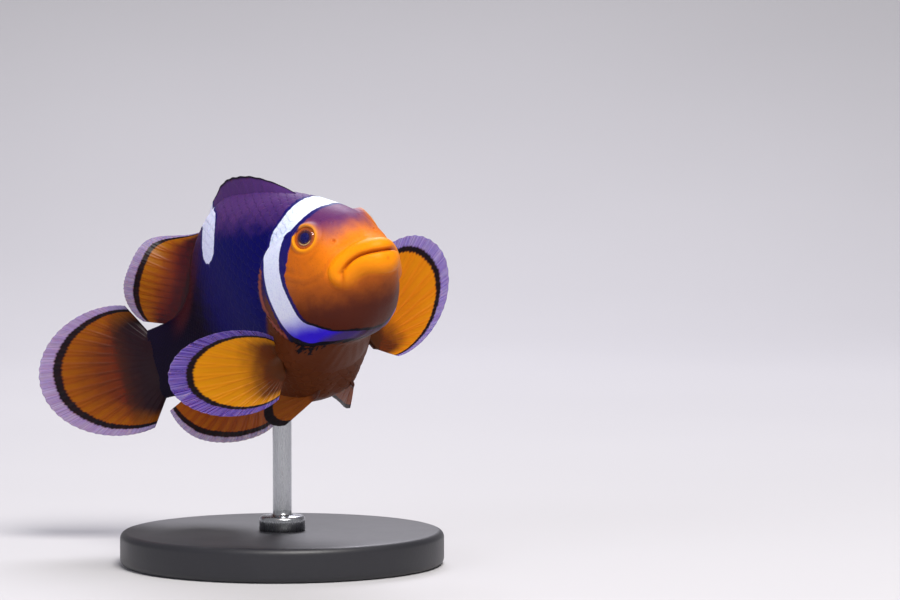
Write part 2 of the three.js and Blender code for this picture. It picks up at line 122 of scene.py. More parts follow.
# A cubic through the stations, over the square root of along, whose slopes are the harmonic
# mean of the neighbouring chords, so that it never overshoots
def stationCurve(column):
    rows = np.array(fish["stations"], float)
    at, value = np.sqrt(rows[:, 0]), rows[:, column]
    chord = np.diff(value) / np.diff(at)
    product = chord[:-1] * chord[1:]
    total = np.where(product > 0, chord[:-1] + chord[1:], 1)
    slope = np.concatenate([chord[:1], np.where(product > 0, 2 * product / total, 0), chord[-1:]])

    def curve(along):
        q = np.sqrt(np.maximum(along, 0))
        i = np.clip(np.searchsorted(at, q) - 1, 0, len(at) - 2)
        width = at[i + 1] - at[i]
        t = np.minimum(1, (q - at[i]) / width)
        rise = value[i + 1] - value[i]
        lead, tail = slope[i] * width, slope[i + 1] * width
        return value[i] + t * (lead + t * (3 * rise - 2 * lead - tail + t * (lead + tail - 2 * rise)))

    return curve


backAt, bellyAt, halfWidthAt, widestAt = [stationCurve(column) for column in (1, 2, 3, 4)]


# Sum of the eased turns up to a station, in radians
def turned(turns, along):
    return sum(math.radians(angle) * ease((along - start) / (end - start)) for start, end, angle in turns)


# Spine directions at a station: back = (-cos r cos d, -sin r cos d, -sin d), then level and
# upright turned about it by the twist
def spineFrame(along):
    right, down, twist = (turned(fish[key], along) for key in ("turnsRight", "turnsDown", "twist"))
    back = np.stack([-np.cos(right) * np.cos(down), -np.sin(right) * np.cos(down), -np.sin(down)], -1)
    level = np.stack([-np.sin(right), np.cos(right), 0 * right], -1)
    upright = np.cross(level, back)
    c, s = np.cos(twist)[..., None], np.sin(twist)[..., None]
    return back, level * c + upright * s, upright * c - level * s


spineStep, spineLength = 0.25, 130.0
spineAt = np.arange(0, spineLength + spineStep / 2, spineStep)
spinePoints = np.concatenate([
    np.zeros((1, 3)),
    np.cumsum(spineFrame(spineAt[:-1] + spineStep / 2)[0] * spineStep, axis=0),
])


# Spine point at "along", plus side and up along the spine's directions there
def bendAlongSpine(points):
    along = np.clip(points[..., 0], 0, spineLength)
    back, side, up = spineFrame(along)
    onSpine = np.stack([np.interp(along, spineAt, spinePoints[:, k]) for k in range(3)], -1)
    past = (points[..., 0] - along)[..., None]
    return onSpine + back * past + side * points[..., 1:2] + up * points[..., 2:3]


# Rotation by the nose's pitch about Y after the bank about X
def makeAttitude():
    p, b = math.radians(fish["nosePitch"]), math.radians(fish["bankAngle"])
    pitch = np.array([[math.cos(p), 0, -math.sin(p)], [0, 1, 0], [math.sin(p), 0, math.cos(p)]])
    bank = np.array([[1, 0, 0], [0, math.cos(b), -math.sin(b)], [0, math.sin(b), math.cos(b)]])
    return pitch @ bank


attitude = makeAttitude()
overRod = attitude @ bendAlongSpine(np.array([fish["stationOverRod"], 0.0, 0.0]))
stride = np.array([-overRod[0], -overRod[1], fish["spineHeight"] - overRod[2]])


# From the straightened fish to metres in the shared frame
def placeFish(points):
    return (bendAlongSpine(points) @ attitude.T + stride) * fish["unit"]


# One point of a section: a half superellipse above the widest line and a fuller one below.
# Angle 0 is the back and 90 degrees the left flank.
def sectionPoint(along, angle):
    along, angle = np.broadcast_arrays(along, angle)
    widest = widestAt(along) * np.minimum(1, along / 8)
    c, s = np.cos(angle), np.sin(angle)
    power = 2 / np.where(c > 0, fish["backFullness"], fish["bellyFullness"])
    edge = np.where(c > 0, backAt(along), bellyAt(along))
    side = halfWidthAt(along) * np.sign(s) * np.abs(s) ** power
    return np.stack([along, side, widest + (edge - widest) * np.abs(c) ** power], -1)


# The section surface's normal: the cross product of a small step along and one round
def outwardAt(along, angle):
    nudge = 0.02
    lengthwise = sectionPoint(along + nudge, angle) - sectionPoint(np.maximum(along - nudge, 0), angle)
    around = sectionPoint(along, angle + nudge) - sectionPoint(along, angle - nudge)
    return unitVector(np.cross(lengthwise, around))


# Relief of the skin

mouth = {
    "up": 1.8, "drop": 3.9, "power": 3.2, "tilt": 0.11,
    "corner": 10.3,            # how far round the snout the slit ends
    "slitDepth": 0.55, "slitSoftness": 0.34, "samples": 120,
    "upperWidth": 3.1, "upperHeight": 0.85, "lowerWidth": 3.3, "lowerExtra": 1.9, "lowerHeight": 0.75,
    "crease": 0.3, "creaseSoftness": 0.5,
    # the fold that runs back and down from the slit's corner
    "foldBack": 0.9, "foldDown": 3.4, "foldDepth": 0.4, "foldSoftness": 0.4,
}


# The slit's height over the way round the snout, r = hypot(along, side), is
# up - drop (r / corner)^power, tilted a little to one side. At the distance d from it stand rolls
# of lip, sin(pi d / width)^0.75, that wrap round its corner. The slit, the rolls' outer edge and a
# short fold below the corner are creases.
def lipRelief(points):
    m = mouth
    along, side, up = points[..., 0], points[..., 1], points[..., 2]
    height, lipMask, slitShadeMask = np.zeros((3, *along.shape))
    near = (along < 15) & (up > -12)
    way, level = np.hypot(along, side)[near], (up + m["tilt"] * side)[near]
    slitWay = m["corner"] * np.linspace(0, 1, m["samples"])
    slitUp = m["up"] - m["drop"] * (slitWay / m["corner"]) ** m["power"]
    distance = np.hypot(way[:, None] - slitWay, level[:, None] - slitUp).min(1)
    beyond = ease((way - m["corner"] + 0.8) / 1.6)
    above = level - np.interp(way, slitWay, slitUp)
    isUpper = ease(0.5 + above / (0.16 + 7 * beyond) + 0.45 * beyond)
    lowerWidth = m["lowerWidth"] + m["lowerExtra"] * bump(way, 5.0)
    width = m["upperWidth"] * isUpper + lowerWidth * (1 - isUpper)
    share = np.clip(distance / width, 0, 1)
    roll = np.sin(np.pi * share ** (0.9 - 0.12 * (1 - isUpper))) ** 0.75
    rollHeight = m["upperHeight"] * isUpper + m["lowerHeight"] * (1 - isUpper)
    slitFade = 1 - 0.45 * ease((way - 8) / 2.3)
    slit = m["slitDepth"] * slitFade * bump(distance, m["slitSoftness"])
    edge = m["crease"] * (0.6 + 0.4 * ease((way - 6) / 3)) * (0.25 + 0.75 * isUpper)
    crease = edge * bump(distance - width - 0.15, m["creaseSoftness"])
    backward, downward = way - m["corner"] + 0.4, slitUp[-1] - level
    foldSize = m["foldBack"] ** 2 + m["foldDown"] ** 2
    down = np.clip((backward * m["foldBack"] + downward * m["foldDown"]) / foldSize, 0, 1)
    away = np.hypot(backward - m["foldBack"] * down, downward - m["foldDown"] * down)
    foldFade = (0.65 + 0.35 * ease(down / 0.25)) * (1 - 0.75 * ease(down))
    fold = m["foldDepth"] * foldFade * bump(away, m["foldSoftness"])
    height[near] = roll * rollHeight - np.maximum(slit, fold) - crease
    lipMask[near] = 1 - ease((distance - width + 0.5) / 1.3)
    # mask of the painted shade in the slit's groove and in the fold below its corner
    slitShadeMask[near] = np.maximum(slitFade * bump(distance, 0.36), 0.7 * fold / m["foldDepth"])
    return height, lipMask, slitShadeMask


face = {
    # place, radius, height of the rim
    "pits": (((9.2, 6.1, 6.3), 0.34, 0.34), ((11.3, 3.8, 9.8), 0.26, 0.14),
             ((7.4, 3.2, 7.6), 0.2, 0.14), ((13.7, 5.2, 10.4), 0.22, 0.14)),
    "wrinkleHeight": 0.075,
    "gillCentre": (20.0, -3.5), "gillReach": (12.6, 13.2), "gillStep": 0.6,
}


# Distance from a place or, for points on the right of the fish, from its mirror image
def distanceFrom(points, place):
    across = np.stack([points[..., 0], np.abs(points[..., 1]), points[..., 2]], -1) - np.array(place)
    return np.linalg.norm(across, axis=-1)


# Nostrils and pores: a pit -1.6 h exp(-(r/a)^2) inside a rim 0.4 h exp(-((r - 1.7a) / 0.7a)^2)
def pitRelief(points):
    total = 0
    for place, radius, height in face["pits"]:
        r = distanceFrom(points, place)
        total = total + height * (0.4 * bump(r - 1.7 * radius, 0.7 * radius) - 1.6 * bump(r, radius))
    return total


# Folds of loose skin below the eye: sine rings round the eye in a sector, cut by short spokes. Their troughs
# also give the mask of a painted shade.
def cheekRelief(points):
    dx, dz = points[..., 0] - eye["centre"][0], points[..., 2] - eye["centre"][2]
    r = np.hypot(dx, dz)
    bearing = np.degrees(np.arctan2(dx, -dz))         # 0 straight below the eye, 90 behind it
    sector = ease((bearing + 75) / 30) * (1 - ease((bearing - 40) / 35))
    swing = np.radians(bearing)
    wave = np.sin(2 * np.pi * (r - 5.0) / 2.3 + 1.3 * np.sin(swing * 2.3 + 0.7) + 0.6 * np.sin(swing * 5.1))
    strength = 0.55 + 0.45 * np.sin(swing * 2.6 + 0.9 * r)
    rings = np.sign(wave) * np.abs(wave) ** 0.8 * strength * ease((r - 4.2) / 0.9) * (1 - ease((r - 9.0) / 3))
    spokes = np.sin(swing * 17 + 0.8 * r) * bump(r - 5.6, 1.0) * 0.35
    folds = sector * (rings + spokes) * (np.abs(points[..., 1]) > 4)
    return face["wrinkleHeight"] * folds, np.clip(-folds, 0, 1)


# Distance g behind the D-shaped rear edge of the gill cover, with small teeth on its lower half
def gillEdge(points):
    (cx, cz), (rx, rz) = face["gillCentre"], face["gillReach"]
    x, z = points[..., 0] - cx, points[..., 2] - cz
    bearing = np.arctan2(z / rz, x / rx)
    scale = np.hypot(x / rx, z / rz)
    teeth = 0.8 * (np.sin(np.pi * ((bearing * 9.5) % 1)) ** 0.6 - 0.6)
    lower = ease((0.75 - bearing) / 0.3) * ease((bearing + 1.3) / 0.3)
    g = (scale - 1) * np.hypot(rx * np.cos(bearing), rz * np.sin(bearing)) - teeth * lower
    rear = ease((x + 1.5) / 4) * ease((11.5 - points[..., 2]) / 2.5)
    return g, rear


# A step down behind the gill cover's edge, a roll along it and a mask of the frill on its lower part
def gillRelief(points):
    g, rear = gillEdge(points)
    behind = face["gillStep"] * ease((g + 0.12) / 0.24) * bump(np.maximum(g, 0), 3.0)
    rolled = 0.28 * bump(g + 0.5, 0.42)
    frill = rear * bump(g + 0.85, 0.85) * (g < 0.12) * ease((7.5 - points[..., 2]) / 2.5)
    return rear * (rolled - behind), frill


# Gill membrane folds under the throat: ripples along the keel that fade up the sides
def throatRelief(points):
    along, side, up = points[..., 0], points[..., 1], points[..., 2]
    low = ease((-up - 9.5) / 4) * ease((along - 7) / 4) * (1 - ease((along - 27) / 5))
    return 0.05 * low * np.sin(2 * np.pi * (np.abs(side) - 0.22 * along + 1.0) / 2.4)


# 1 where scales lie, 0 on the head and on the gill covers
def scaledness(points):
    g, rear = gillEdge(points)
    behindHead = ease((points[..., 0] - 20) / 5)
    return np.clip(behindHead * (1 - rear) + rear * ease(g / 0.8), 0, 1)


eye = {
    "centre": (16.3, 7.05, 6.85), "axis": (-0.38, 0.82, 0.4), "radius": 3.4, "opening": 2.5,
    "crest": 2.95, "crestHeight": 0.28, "fadeOut": 1.4,
    "corneaHeight": 3.2, "corneaFoot": 2.02, "corneaThickness": 0.16,
    "pupil": 1.14, "irisTop": 2.32, "lensTop": 2.7, "ballStart": 52.0, "around": 96,
}


# Skin round the eye: inside the opening it dives below the ball, then a rim hugs the ball and
# runs out into the cheek
def orbitRelief(points):
    out = points.copy()
    crestHighlightMask = np.zeros(points.shape[:-1])
    for sign in (1, -1):
        mirror = np.array([1, sign, 1])
        centre = np.array(eye["centre"]) * mirror
        axis = unitVector(np.array(eye["axis"])) * mirror
        away = out - centre
        height = away @ axis
        r = np.linalg.norm(away - height[..., None] * axis, axis=-1)
        near = (height > -3.0) & (np.linalg.norm(away, axis=-1) < 9)
        ball = np.sqrt(np.maximum(eye["radius"] ** 2 - r ** 2, 0.5))
        rimTop = math.sqrt(eye["radius"] ** 2 - eye["opening"] ** 2) + eye["crestHeight"]
        outside, within = np.maximum(0, r - eye["crest"]), np.maximum(0, eye["crest"] - 0.2 - r)
        rim = rimTop - 0.45 * outside ** 1.5 - 1.6 * within ** 2
        dive = ease((eye["opening"] + 0.16 - r) / 0.3)
        wanted = rim * (1 - dive) + (np.minimum(ball, rim) - 0.9) * dive
        groove = 0.09 * bump(r - eye["crest"] - 0.95, 0.32)
        weight = np.where(near, 1 - ease((r - eye["crest"]) / eye["fadeOut"]), 0)
        shift = weight * (wanted - height) - np.where(near, groove, 0)
        out += shift[..., None] * axis
        # mask of the painted highlight on the orbit's crest
        crestHighlightMask += np.where(near, bump(r - eye["crest"] + 0.1, 0.5), 0)
    return out, np.clip(crestHighlightMask, 0, 1)


# Soft swellings and hollows (place, reach, height): the fleshy roots of the paired fins and the
# dips between the eyes and the lips
swellings = (((35.5, 11.6, -18.5), 4.6, 0.7), ((37.0, 4.2, -25.5), 3.4, 0.6), ((8.2, 5.6, 6.2), 3.4, -0.8))
coatDepth = 0.14               # how far the skin lies under the scales' tops


# Section point + outward normal times the sum of all relief, then the orbits
def skinPoint(along, angle):
    base = sectionPoint(along, angle)
    lips, lipMask, slitShadeMask = lipRelief(base)
    gill, frill = gillRelief(base)
    folds, foldShadeMask = cheekRelief(base)
    height = lips + folds + gill + throatRelief(base) + pitRelief(base) - coatDepth * scaledness(base)
    for place, reach, swelling in swellings:
        height = height + swelling * bump(distanceFrom(base, place), reach)
    points, crestHighlightMask = orbitRelief(base + outwardAt(along, angle) * height[..., None])
    return points, {"lip": lipMask, "slit": slitShadeMask, "rim": crestHighlightMask, "frill": frill, "fold": foldShadeMask}


# Mesh helpers

# vertices is an (n, 3) array, and each face list an (m, k) array of indices
def newObject(name, vertices, faceLists):
    mesh = bpy.data.meshes.new(name)
    faceLists = [np.asarray(faces, np.int32) for faces in faceLists]
    sizes = np.concatenate([np.full(len(faces), faces.shape[1]) for faces in faceLists])
    loops = np.concatenate([faces.ravel() for faces in faceLists])
    mesh.vertices.add(len(vertices))
    mesh.vertices.foreach_set("co", np.asarray(vertices, np.float32).ravel())
    mesh.loops.add(len(loops))
    mesh.loops.foreach_set("vertex_index", loops)
    mesh.polygons.add(len(sizes))
    starts = np.concatenate([[0], np.cumsum(sizes)[:-1]]).astype(np.int32)
    mesh.polygons.foreach_set("loop_start", starts)
    mesh.polygons.foreach_set("use_smooth", np.ones(len(sizes), bool))
    mesh.update(calc_edges=True)
    mesh.validate()
    made = bpy.data.objects.new(name, mesh)
    bpy.context.scene.collection.objects.link(made)
    return made


# A point attribute: a number for each vertex, or a vector where values is an (n, 3) array
def addAttribute(made, name, values):
    kind, field = ("FLOAT_VECTOR", "vector") if np.ndim(values) == 2 else ("FLOAT", "value")
    layer = made.data.attributes.new(name, kind, "POINT")
    layer.data.foreach_set(field, np.asarray(values, np.float32).ravel())


def addMap(made, name, perVertex):
    layer = made.data.uv_layers.new(name=name)
    corners = np.zeros(len(made.data.loops), np.int32)
    made.data.loops.foreach_get("vertex_index", corners)
    layer.data.foreach_set("uv", np.asarray(perVertex, np.float32)[corners].ravel())


# Quads of a rows x columns grid whose columns close on themselves
def tubeQuads(rows, columns):
    i, j = np.meshgrid(np.arange(rows - 1), np.arange(columns), indexing="ij")
    k = (j + 1) % columns
    quads = np.stack([i * columns + j, i * columns + k, (i + 1) * columns + k, (i + 1) * columns + j], -1)
    return quads.reshape(-1, 4)


def fanTriangles(ring, tip, flip):
    pairs = np.stack([ring, np.roll(ring, -1)], -1)
    if flip:
        pairs = pairs[:, ::-1]
    return np.concatenate([pairs, np.full((len(ring), 1), tip)], -1)


# Quads of an open rows x columns grid
def openQuads(rows, columns, start=0, flip=False):
    i, j = np.meshgrid(np.arange(rows - 1), np.arange(columns - 1), indexing="ij")
    a = i * columns + j
    quads = np.stack([a, a + 1, a + columns + 1, a + columns], -1).reshape(-1, 4) + start
    return quads[:, ::-1] if flip else quads


# Turns a mesh's faces outwards if its signed volume is negative
def facesOut(made):
    mesh = made.data
    mesh.calc_loop_triangles()
    co = np.zeros(len(mesh.vertices) * 3)
    mesh.vertices.foreach_get("co", co)
    corners = np.zeros(len(mesh.loop_triangles) * 3, np.int32)
    mesh.loop_triangles.foreach_get("vertices", corners)
    a, b, c = co.reshape(-1, 3)[corners.reshape(-1, 3)].transpose(1, 0, 2)
    if np.einsum("ij,ij->i", a, np.cross(b, c)).sum() < 0:
        mesh.flip_normals()
    return made


# A closed surface from a (rows, columns, 3) grid of rings and the two points that close its ends
def closedTube(name, rings, ends):
    rows, columns = rings.shape[:2]
    ring, count = np.arange(columns), rows * columns
    return facesOut(newObject(name, np.concatenate([rings.reshape(-1, 3), ends]), [
        tubeQuads(rows, columns),
        fanTriangles(ring, count, True),
        fanTriangles(ring + count - columns, count + 1, False),
    ]))


# Shader helpers

# A screen colour, 0 to 255, as a linear one: v / 12.92 in the dark, then ((v + 0.055) / 1.055)^2.4
def srgb(red, green, blue):
    v = np.array([red, green, blue]) / 255
    return (*np.where(v <= 0.04045, v / 12.92, ((v + 0.055) / 1.055) ** 2.4).tolist(), 1.0)


# Screen colours by name; each piece adds its own
paint = {}


# A socket that is added, subtracted and multiplied like a number, with one maths node each time
class Value:

    def __init__(self, n, socket):
        self.n, self.socket = n, socket

    def __add__(self, other):
        return self.n.maths("ADD", self, other)

    def __sub__(self, other):
        return self.n.maths("SUBTRACT", self, other)

    def __rsub__(self, other):
        return self.n.maths("SUBTRACT", other, self)

    def __mul__(self, other):
        return self.n.maths("MULTIPLY", self, other)


# Short ways to add nodes to one tree; an input takes a Value, a plain number, vector or colour, or
# the name of a paint
class Nodes:

    def __init__(self, tree):
        self.tree = tree

    def add(self, kind, **settings):
        node = self.tree.nodes.new(kind)
        for key, value in settings.items():
            setattr(node, key, value)
        return node

    def fill(self, node, values):
        for label, value in values.items():
            socket = node.inputs[label]
            if isinstance(value, Value):
                self.tree.links.new(value.socket, socket)
            else:
                socket.default_value = srgb(*paint[value]) if isinstance(value, str) else value

    # fills a node and gives one of its outputs
    def result(self, node, values, output=0):
        self.fill(node, values)
        return Value(self, node.outputs[output])

    def maths(self, operation, *values):
        return self.result(self.add("ShaderNodeMath", operation=operation), dict(enumerate(values)))

    # 0 at low, 1 at high, with a soft start and end; low may be the larger one
    def smooth(self, value, low, high):
        node = self.add("ShaderNodeMapRange", interpolation_type="SMOOTHSTEP", clamp=True)
        return self.result(node, {0: value, 1: low, 2: high})

    def mix(self, share, a, b, blend="MIX"):
        node = self.add("ShaderNodeMix", data_type="RGBA", blend_type=blend)
        return self.result(node, {0: share, 6: a, 7: b}, 2)

    def noise(self, vector, scale, detail=3.0, roughness=0.5, stretch=None):
        if stretch:
            vector = self.result(self.add("ShaderNodeMapping"), {"Vector": vector, "Scale": stretch})
        node = self.add("ShaderNodeTexNoise")
        return self.result(node, {"Vector": vector, "Scale": scale, "Detail": detail, "Roughness": roughness})

    # a curve over 0..1 through points (place, height), whose heights may have any range
    def curve(self, value, points):
        low = min(height for place, height in points)
        spread = max(max(height for place, height in points) - low, 1e-3)
        shares = [(place, (height - low) / spread) for place, height in points]
        node = self.add("ShaderNodeFloatCurve")
        line = node.mapping.curves[0].points
        line[0].location, line[1].location = shares[0], shares[-1]
        for share in shares[1:-1]:
            line.new(*share)
        node.mapping.update()
        return self.result(node, {"Value": value}) * spread + low

    def split(self, vector):
        node = self.add("ShaderNodeSeparateXYZ")
        self.fill(node, {0: vector})
        return [Value(self, socket) for socket in node.outputs]

    # a piece's own point attribute, as a number or as a vector
    def value(self, name):
        return self.result(self.add("ShaderNodeAttribute", attribute_name=name), {}, "Fac")

    def vector(self, name):
        return self.result(self.add("ShaderNodeAttribute", attribute_name=name), {}, "Vector")

    def objectPlace(self):
        return self.result(self.add("ShaderNodeTexCoord"), {}, "Object")

    # places a node group and gives its outputs by name
    def group(self, tree, values):
        node = self.add("ShaderNodeGroup", node_tree=tree)
        self.fill(node, values)
        return {socket.name: Value(self, socket) for socket in node.outputs}

    def relief(self, shader, height, strength, distance):
        values = {"Strength": strength, "Distance": distance, "Height": height}
        self.fill(shader, {"Normal": self.result(self.add("ShaderNodeBump"), values)})


# A node group; each socket's name comes with its kind, and a number stands for a value with that default
def startGroup(name, inputs, outputs):
    kinds = {"vector": "NodeSocketVector", "colour": "NodeSocketColor"}
    tree = bpy.data.node_groups.new(name, "ShaderNodeTree")
    for way, sockets in (("INPUT", inputs), ("OUTPUT", outputs)):
        for label, kind in sockets.items():
            socketType = kinds.get(kind, "NodeSocketFloat")
            socket = tree.interface.new_socket(label, in_out=way, socket_type=socketType)
            if kind not in kinds:
                socket.default_value = kind
    n = Nodes(tree)
    given = {socket.name: Value(n, socket) for socket in n.add("NodeGroupInput").outputs}
    return n, given, n.add("NodeGroupOutput")


def newMaterial(name):
    material = bpy.data.materials.new(name)
    material.use_nodes = True
    return material, Nodes(material.node_tree), material.node_tree.nodes["Principled BSDF"]


# The markings, shared by the skin, the scales and the spiny dorsal fin

paint.update({
    # face
    "faceBright": (236, 128, 0), "faceOrange": (192, 96, 12), "shadedChin": (80, 28, 12), "lips": (240, 140, 0),
    "slit": (170, 78, 8), "forehead": (92, 40, 92), "eyeRimHighlight": (250, 166, 12),
    # bars
    "barOne": (228, 234, 255), "barTwo": (232, 232, 255), "barBlueLight": (52, 28, 214), "barUnderShade": (70, 50, 112),
    "barFarShade": (138, 104, 176), "throatShade": (62, 30, 46), "black": (8, 4, 18), "edge": (20, 13, 98),
    # body
    "navy": (2, 0, 84), "backPurpleAndSheen": (77, 44, 106), "shadedChest": (90, 42, 18), "sheath": (60, 22, 30),
    "stem": (14, 6, 28), "frill": (132, 68, 58), "frillDark": (70, 28, 34),
})
marks = {
    # along of a bar's front edge and its width at |angle| / 180, from the back to the belly
    "barOneFront": ((0, 16.2), (0.19, 18.7), (0.31, 22.3), (0.38, 22.9), (0.45, 22.7), (0.54, 21.6),
                    (0.63, 20.6), (0.7, 17.7), (0.76, 15.3), (0.83, 11.8), (0.9, 10.3), (1, 10)),
    "barOneWidth": ((0, 5.9), (0.3, 5.4), (0.4, 6.2), (0.55, 6.5), (0.63, 6.2), (0.72, 7.4), (0.8, 7.6),
                    (0.88, 5.0), (1, 3.4)),
    # how much further forward the first bar reaches on the left side
    "leftAhead": ((0, 0), (0.6, 0), (0.75, 5.5), (0.86, 3), (1, 0)),
    # the dark edges before and behind the first bar
    "frontMargin": ((0, 0.9), (0.18, 1.4), (0.3, 3.3), (0.4, 2.8), (0.46, 1.5), (0.7, 1.1), (1, 1.0)),
    "rearMargin": ((0, 1.0), (0.6, 1.1), (0.72, 3.4), (0.86, 4.0), (1, 1.6)),
    # the second bar is a saddle that ends above the middle of the flank
    "barTwoFront": ((0, 60), (0.11, 55.5), (0.22, 52), (0.275, 52.2), (0.305, 53.5), (0.315, 54.6),
                    (0.321, 56), (1, 56)),
    "barTwoWidth": ((0, 5.5), (0.11, 7), (0.22, 8), (0.275, 7.2), (0.305, 4.9), (0.315, 2.9),
                    (0.321, 0), (1, 0)),
    # height of the chest's colour at along / 100: the orange belly, painted dark brown as shade
    "chestLine": ((0, -2), (0.29, -2), (0.33, -7), (0.42, -16), (0.6, -19), (0.8, -13), (1, -14)),
}


# Inside a bar: along lies between its front edge and that plus its width, with uneven edges. Dark:
# the same, wider by the margins "before" and "after" and by the lashes
def barMasks(n, along, turn, bar, jagged, lashes, before, after):
    inFront = along + jagged - n.curve(turn, marks[bar + "Front"])
    behind = inFront - n.curve(turn, marks[bar + "Width"]) - jagged
    inside = n.smooth(inFront, -0.12, 0.16) * n.smooth(behind, 0.16, -0.12)
    darkStart = inFront + jagged * 1.6 + before
    darkEnd = behind - after + jagged * 3.2 + lashes
    return inside, n.smooth(darkStart, -0.15, 0.25) * n.smooth(darkEnd, 0.25, -0.15)


def makeMarkings():
    n, given, result = startGroup(
        "bodyMarkings",
        {"Place": "vector", "Turn": 0.5, "Lip": 0.0, "Slit": 0.0, "Frill": 0.0, "Fold": 0.0, "Rim": 0.0},
        {"Color": "colour", "White": 0.0, "Fine": 0.0},
    )
    place, turn, frill = given["Place"], given["Turn"], given["Frill"]
    along, side, up = n.split(place)
    coarse = n.noise(place, 0.35) - 0.5
    fine = n.noise(place, 2.6, 4, 0.6)
    jagged = (n.noise(place, 1.3, 4, 0.65) - 0.5) * 0.5
    # fine dark lashes that trail from the lower half of the first bar
    lashes = (n.noise(place, 1.2, 1, 0.5, (0.1, 1.5, 1.5)) - 0.5) * n.smooth(turn, 0.66, 0.73) * 10.0

    # the face: bright round the mouth and eye, and painted shade that darkens it to brown down to the chin
    depth = coarse * 3.6 + up
    colour = n.mix(n.smooth(depth, 1.0, -10.0), "faceOrange", "shadedChin")
    colour = n.mix(n.smooth(along, 17.0, 3.0) * n.smooth(depth, -3.0, 3.5), colour, "faceBright")
    colour = n.mix(n.smooth(fine, 0.52, 0.75) * 0.25, colour, "shadedChin")
    # painted shade in the troughs of the cheek's folds
    colour = n.mix(given["Fold"] * 0.2, colour, "shadedChin")
    crown = n.smooth(along * 0.25 + depth, 6.8, 14.2) * n.smooth(n.maths("ABSOLUTE", side), 10.0, 4.8)
    colour = n.mix(crown * n.smooth(along, 3.5, 9.0), colour, "forehead")
    # painted highlight: a brighter yellow ring on the orbit's crest
    colour = n.mix(given["Rim"] * 0.6, colour, "eyeRimHighlight")
    colour = n.mix(given["Lip"], colour, n.mix(n.smooth(up, 0.0, -6.0), "lips", "faceOrange"))
    # painted shade along the mouth's slit and the fold below its corner
    colour = n.mix(given["Slit"], colour, "slit")

    # the body behind the head: navy flank, purple back that is lighter on top partly as painted sheen, the
    # orange chest painted dark brown as shade, dark tail stem
    # lighter purple towards the back: the fish's own purple-brown top, and painted sheen from above
    flank = n.mix(n.smooth(coarse * 6.0 + up - (along * 0.2 + 4.0), 0.0, 7.5), "navy", "backPurpleAndSheen")
    low = coarse * 3.0 + up - n.curve(along * 0.01, marks["chestLine"])
    # painted shade: the orange belly below the chest line, darkened to brown
    flank = n.mix(n.smooth(low, 1.6, -1.6), flank, "shadedChest")
    flank = n.mix(frill, flank, n.mix(n.smooth(frill, 0.55, 1.0), "frillDark", "frill"))
    rear = n.mix(n.smooth(up - (along * -0.32 + 34.5), -3.0, 1.0), "stem", "sheath")
    flank = n.mix(n.smooth(coarse * 14.0 + along, 55.0, 74.0), flank, rear)
    flank = n.mix(n.smooth(along, 84.0, 92.0), flank, "stem")
    colour = n.mix(n.smooth(along - n.curve(turn, marks["barOneFront"]), 2.0, 3.0), colour, flank)

    # the bars: white, with painted light and shade: deep blue low on the flank, violet under the jaw and on
    # the left, dark at the keel
    ahead = n.curve(turn, marks["leftAhead"]) * n.smooth(side, 0.0, 8.0)
    margins = [n.curve(turn, marks[key]) for key in ("frontMargin", "rearMargin")]
    for bar, at, before, after in (("barOne", along + ahead, *margins), ("barTwo", along, 0.9, 1.0)):
        inside, dark = barMasks(n, at, turn, bar, jagged, lashes, before, after)
        if bar == "barTwo":
            dark = dark * n.smooth(turn, 0.329, 0.323)
        colour = n.mix(dark, colour, n.mix(n.smooth(turn, 0.6, 0.68), "edge", "black"))
        # painted blue light on the bar's lower part
        white = n.mix(n.smooth(coarse * 1.6 + up, -7.4, -13.6), bar, "barBlueLight")
        # painted shade: dull violet where the bar turns under the jaw
        white = n.mix(n.smooth(coarse * 0.02 + turn, 0.765, 0.83), white, "barUnderShade")
        # the bar ends under the keel in dark maroon, painted shade
        white = n.mix(n.smooth(turn, 0.87, 0.95), white, "throatShade")
        # painted shade: lavender on the bar's lower part on the left side
        white = n.mix(n.smooth(side, 3.0, 6.5) * n.smooth(turn, 0.66, 0.74), white, "barFarShade")
        white = n.mix(n.smooth(fine, 0.45, 0.7) * 0.16, white, "barBlueLight")
        colour = n.mix(inside, colour, white)
    # White is the second bar's mask, the only bar that runs up onto the spiny fin
    n.fill(result, {"Color": colour, "White": inside, "Fine": fine})
    return n.tree


# Fine grain of wet skin: soft mottling plus tiny pits, as one height
def makeGrain():
    n, given, result = startGroup("skinGrain", {"Place": "vector"}, {"Height": 0.0})
    pits = n.result(n.add("ShaderNodeTexVoronoi"), {"Vector": given["Place"], "Scale": 4.0})
    n.fill(result, {"Height": n.smooth(pits, 0.0, 0.5) * 0.5 + n.noise(given["Place"], 1.5) * 0.7})
    return n.tree


markings, grain = makeMarkings(), makeGrain()


# The markings on wet skin; a skin-clad fin has a dark edge from "edge" outwards, v = 1 at its rim
def skinMaterial(name, roughness, grainDepth, gloss, edge=None):
    material, n, shader = newMaterial(name)
    place = n.vector("fishPlace")
    masks = {key.title(): n.value(key) for key in ("turn", "lip", "slit", "frill", "fold", "rim")}
    painted = n.group(markings, {"Place": place, **masks})
    colour = painted["Color"]
    if edge:
        out = n.split(n.vector("finPlace"))[1]
        colour = n.mix(n.smooth(out, edge, edge + 0.12) * (1.0 - painted["White"]), colour, "black")
    n.fill(shader, {
        "Base Color": colour, "Roughness": painted["Fine"] * 0.18 + roughness, "Specular IOR Level": gloss,
        "Subsurface Weight": 0.12, "Subsurface Radius": (1.0, 0.35, 0.12), "Subsurface Scale": 0.0012,
    })
    n.relief(shader, n.group(grain, {"Place": place})["Height"], 0.55, grainDepth)
    return material


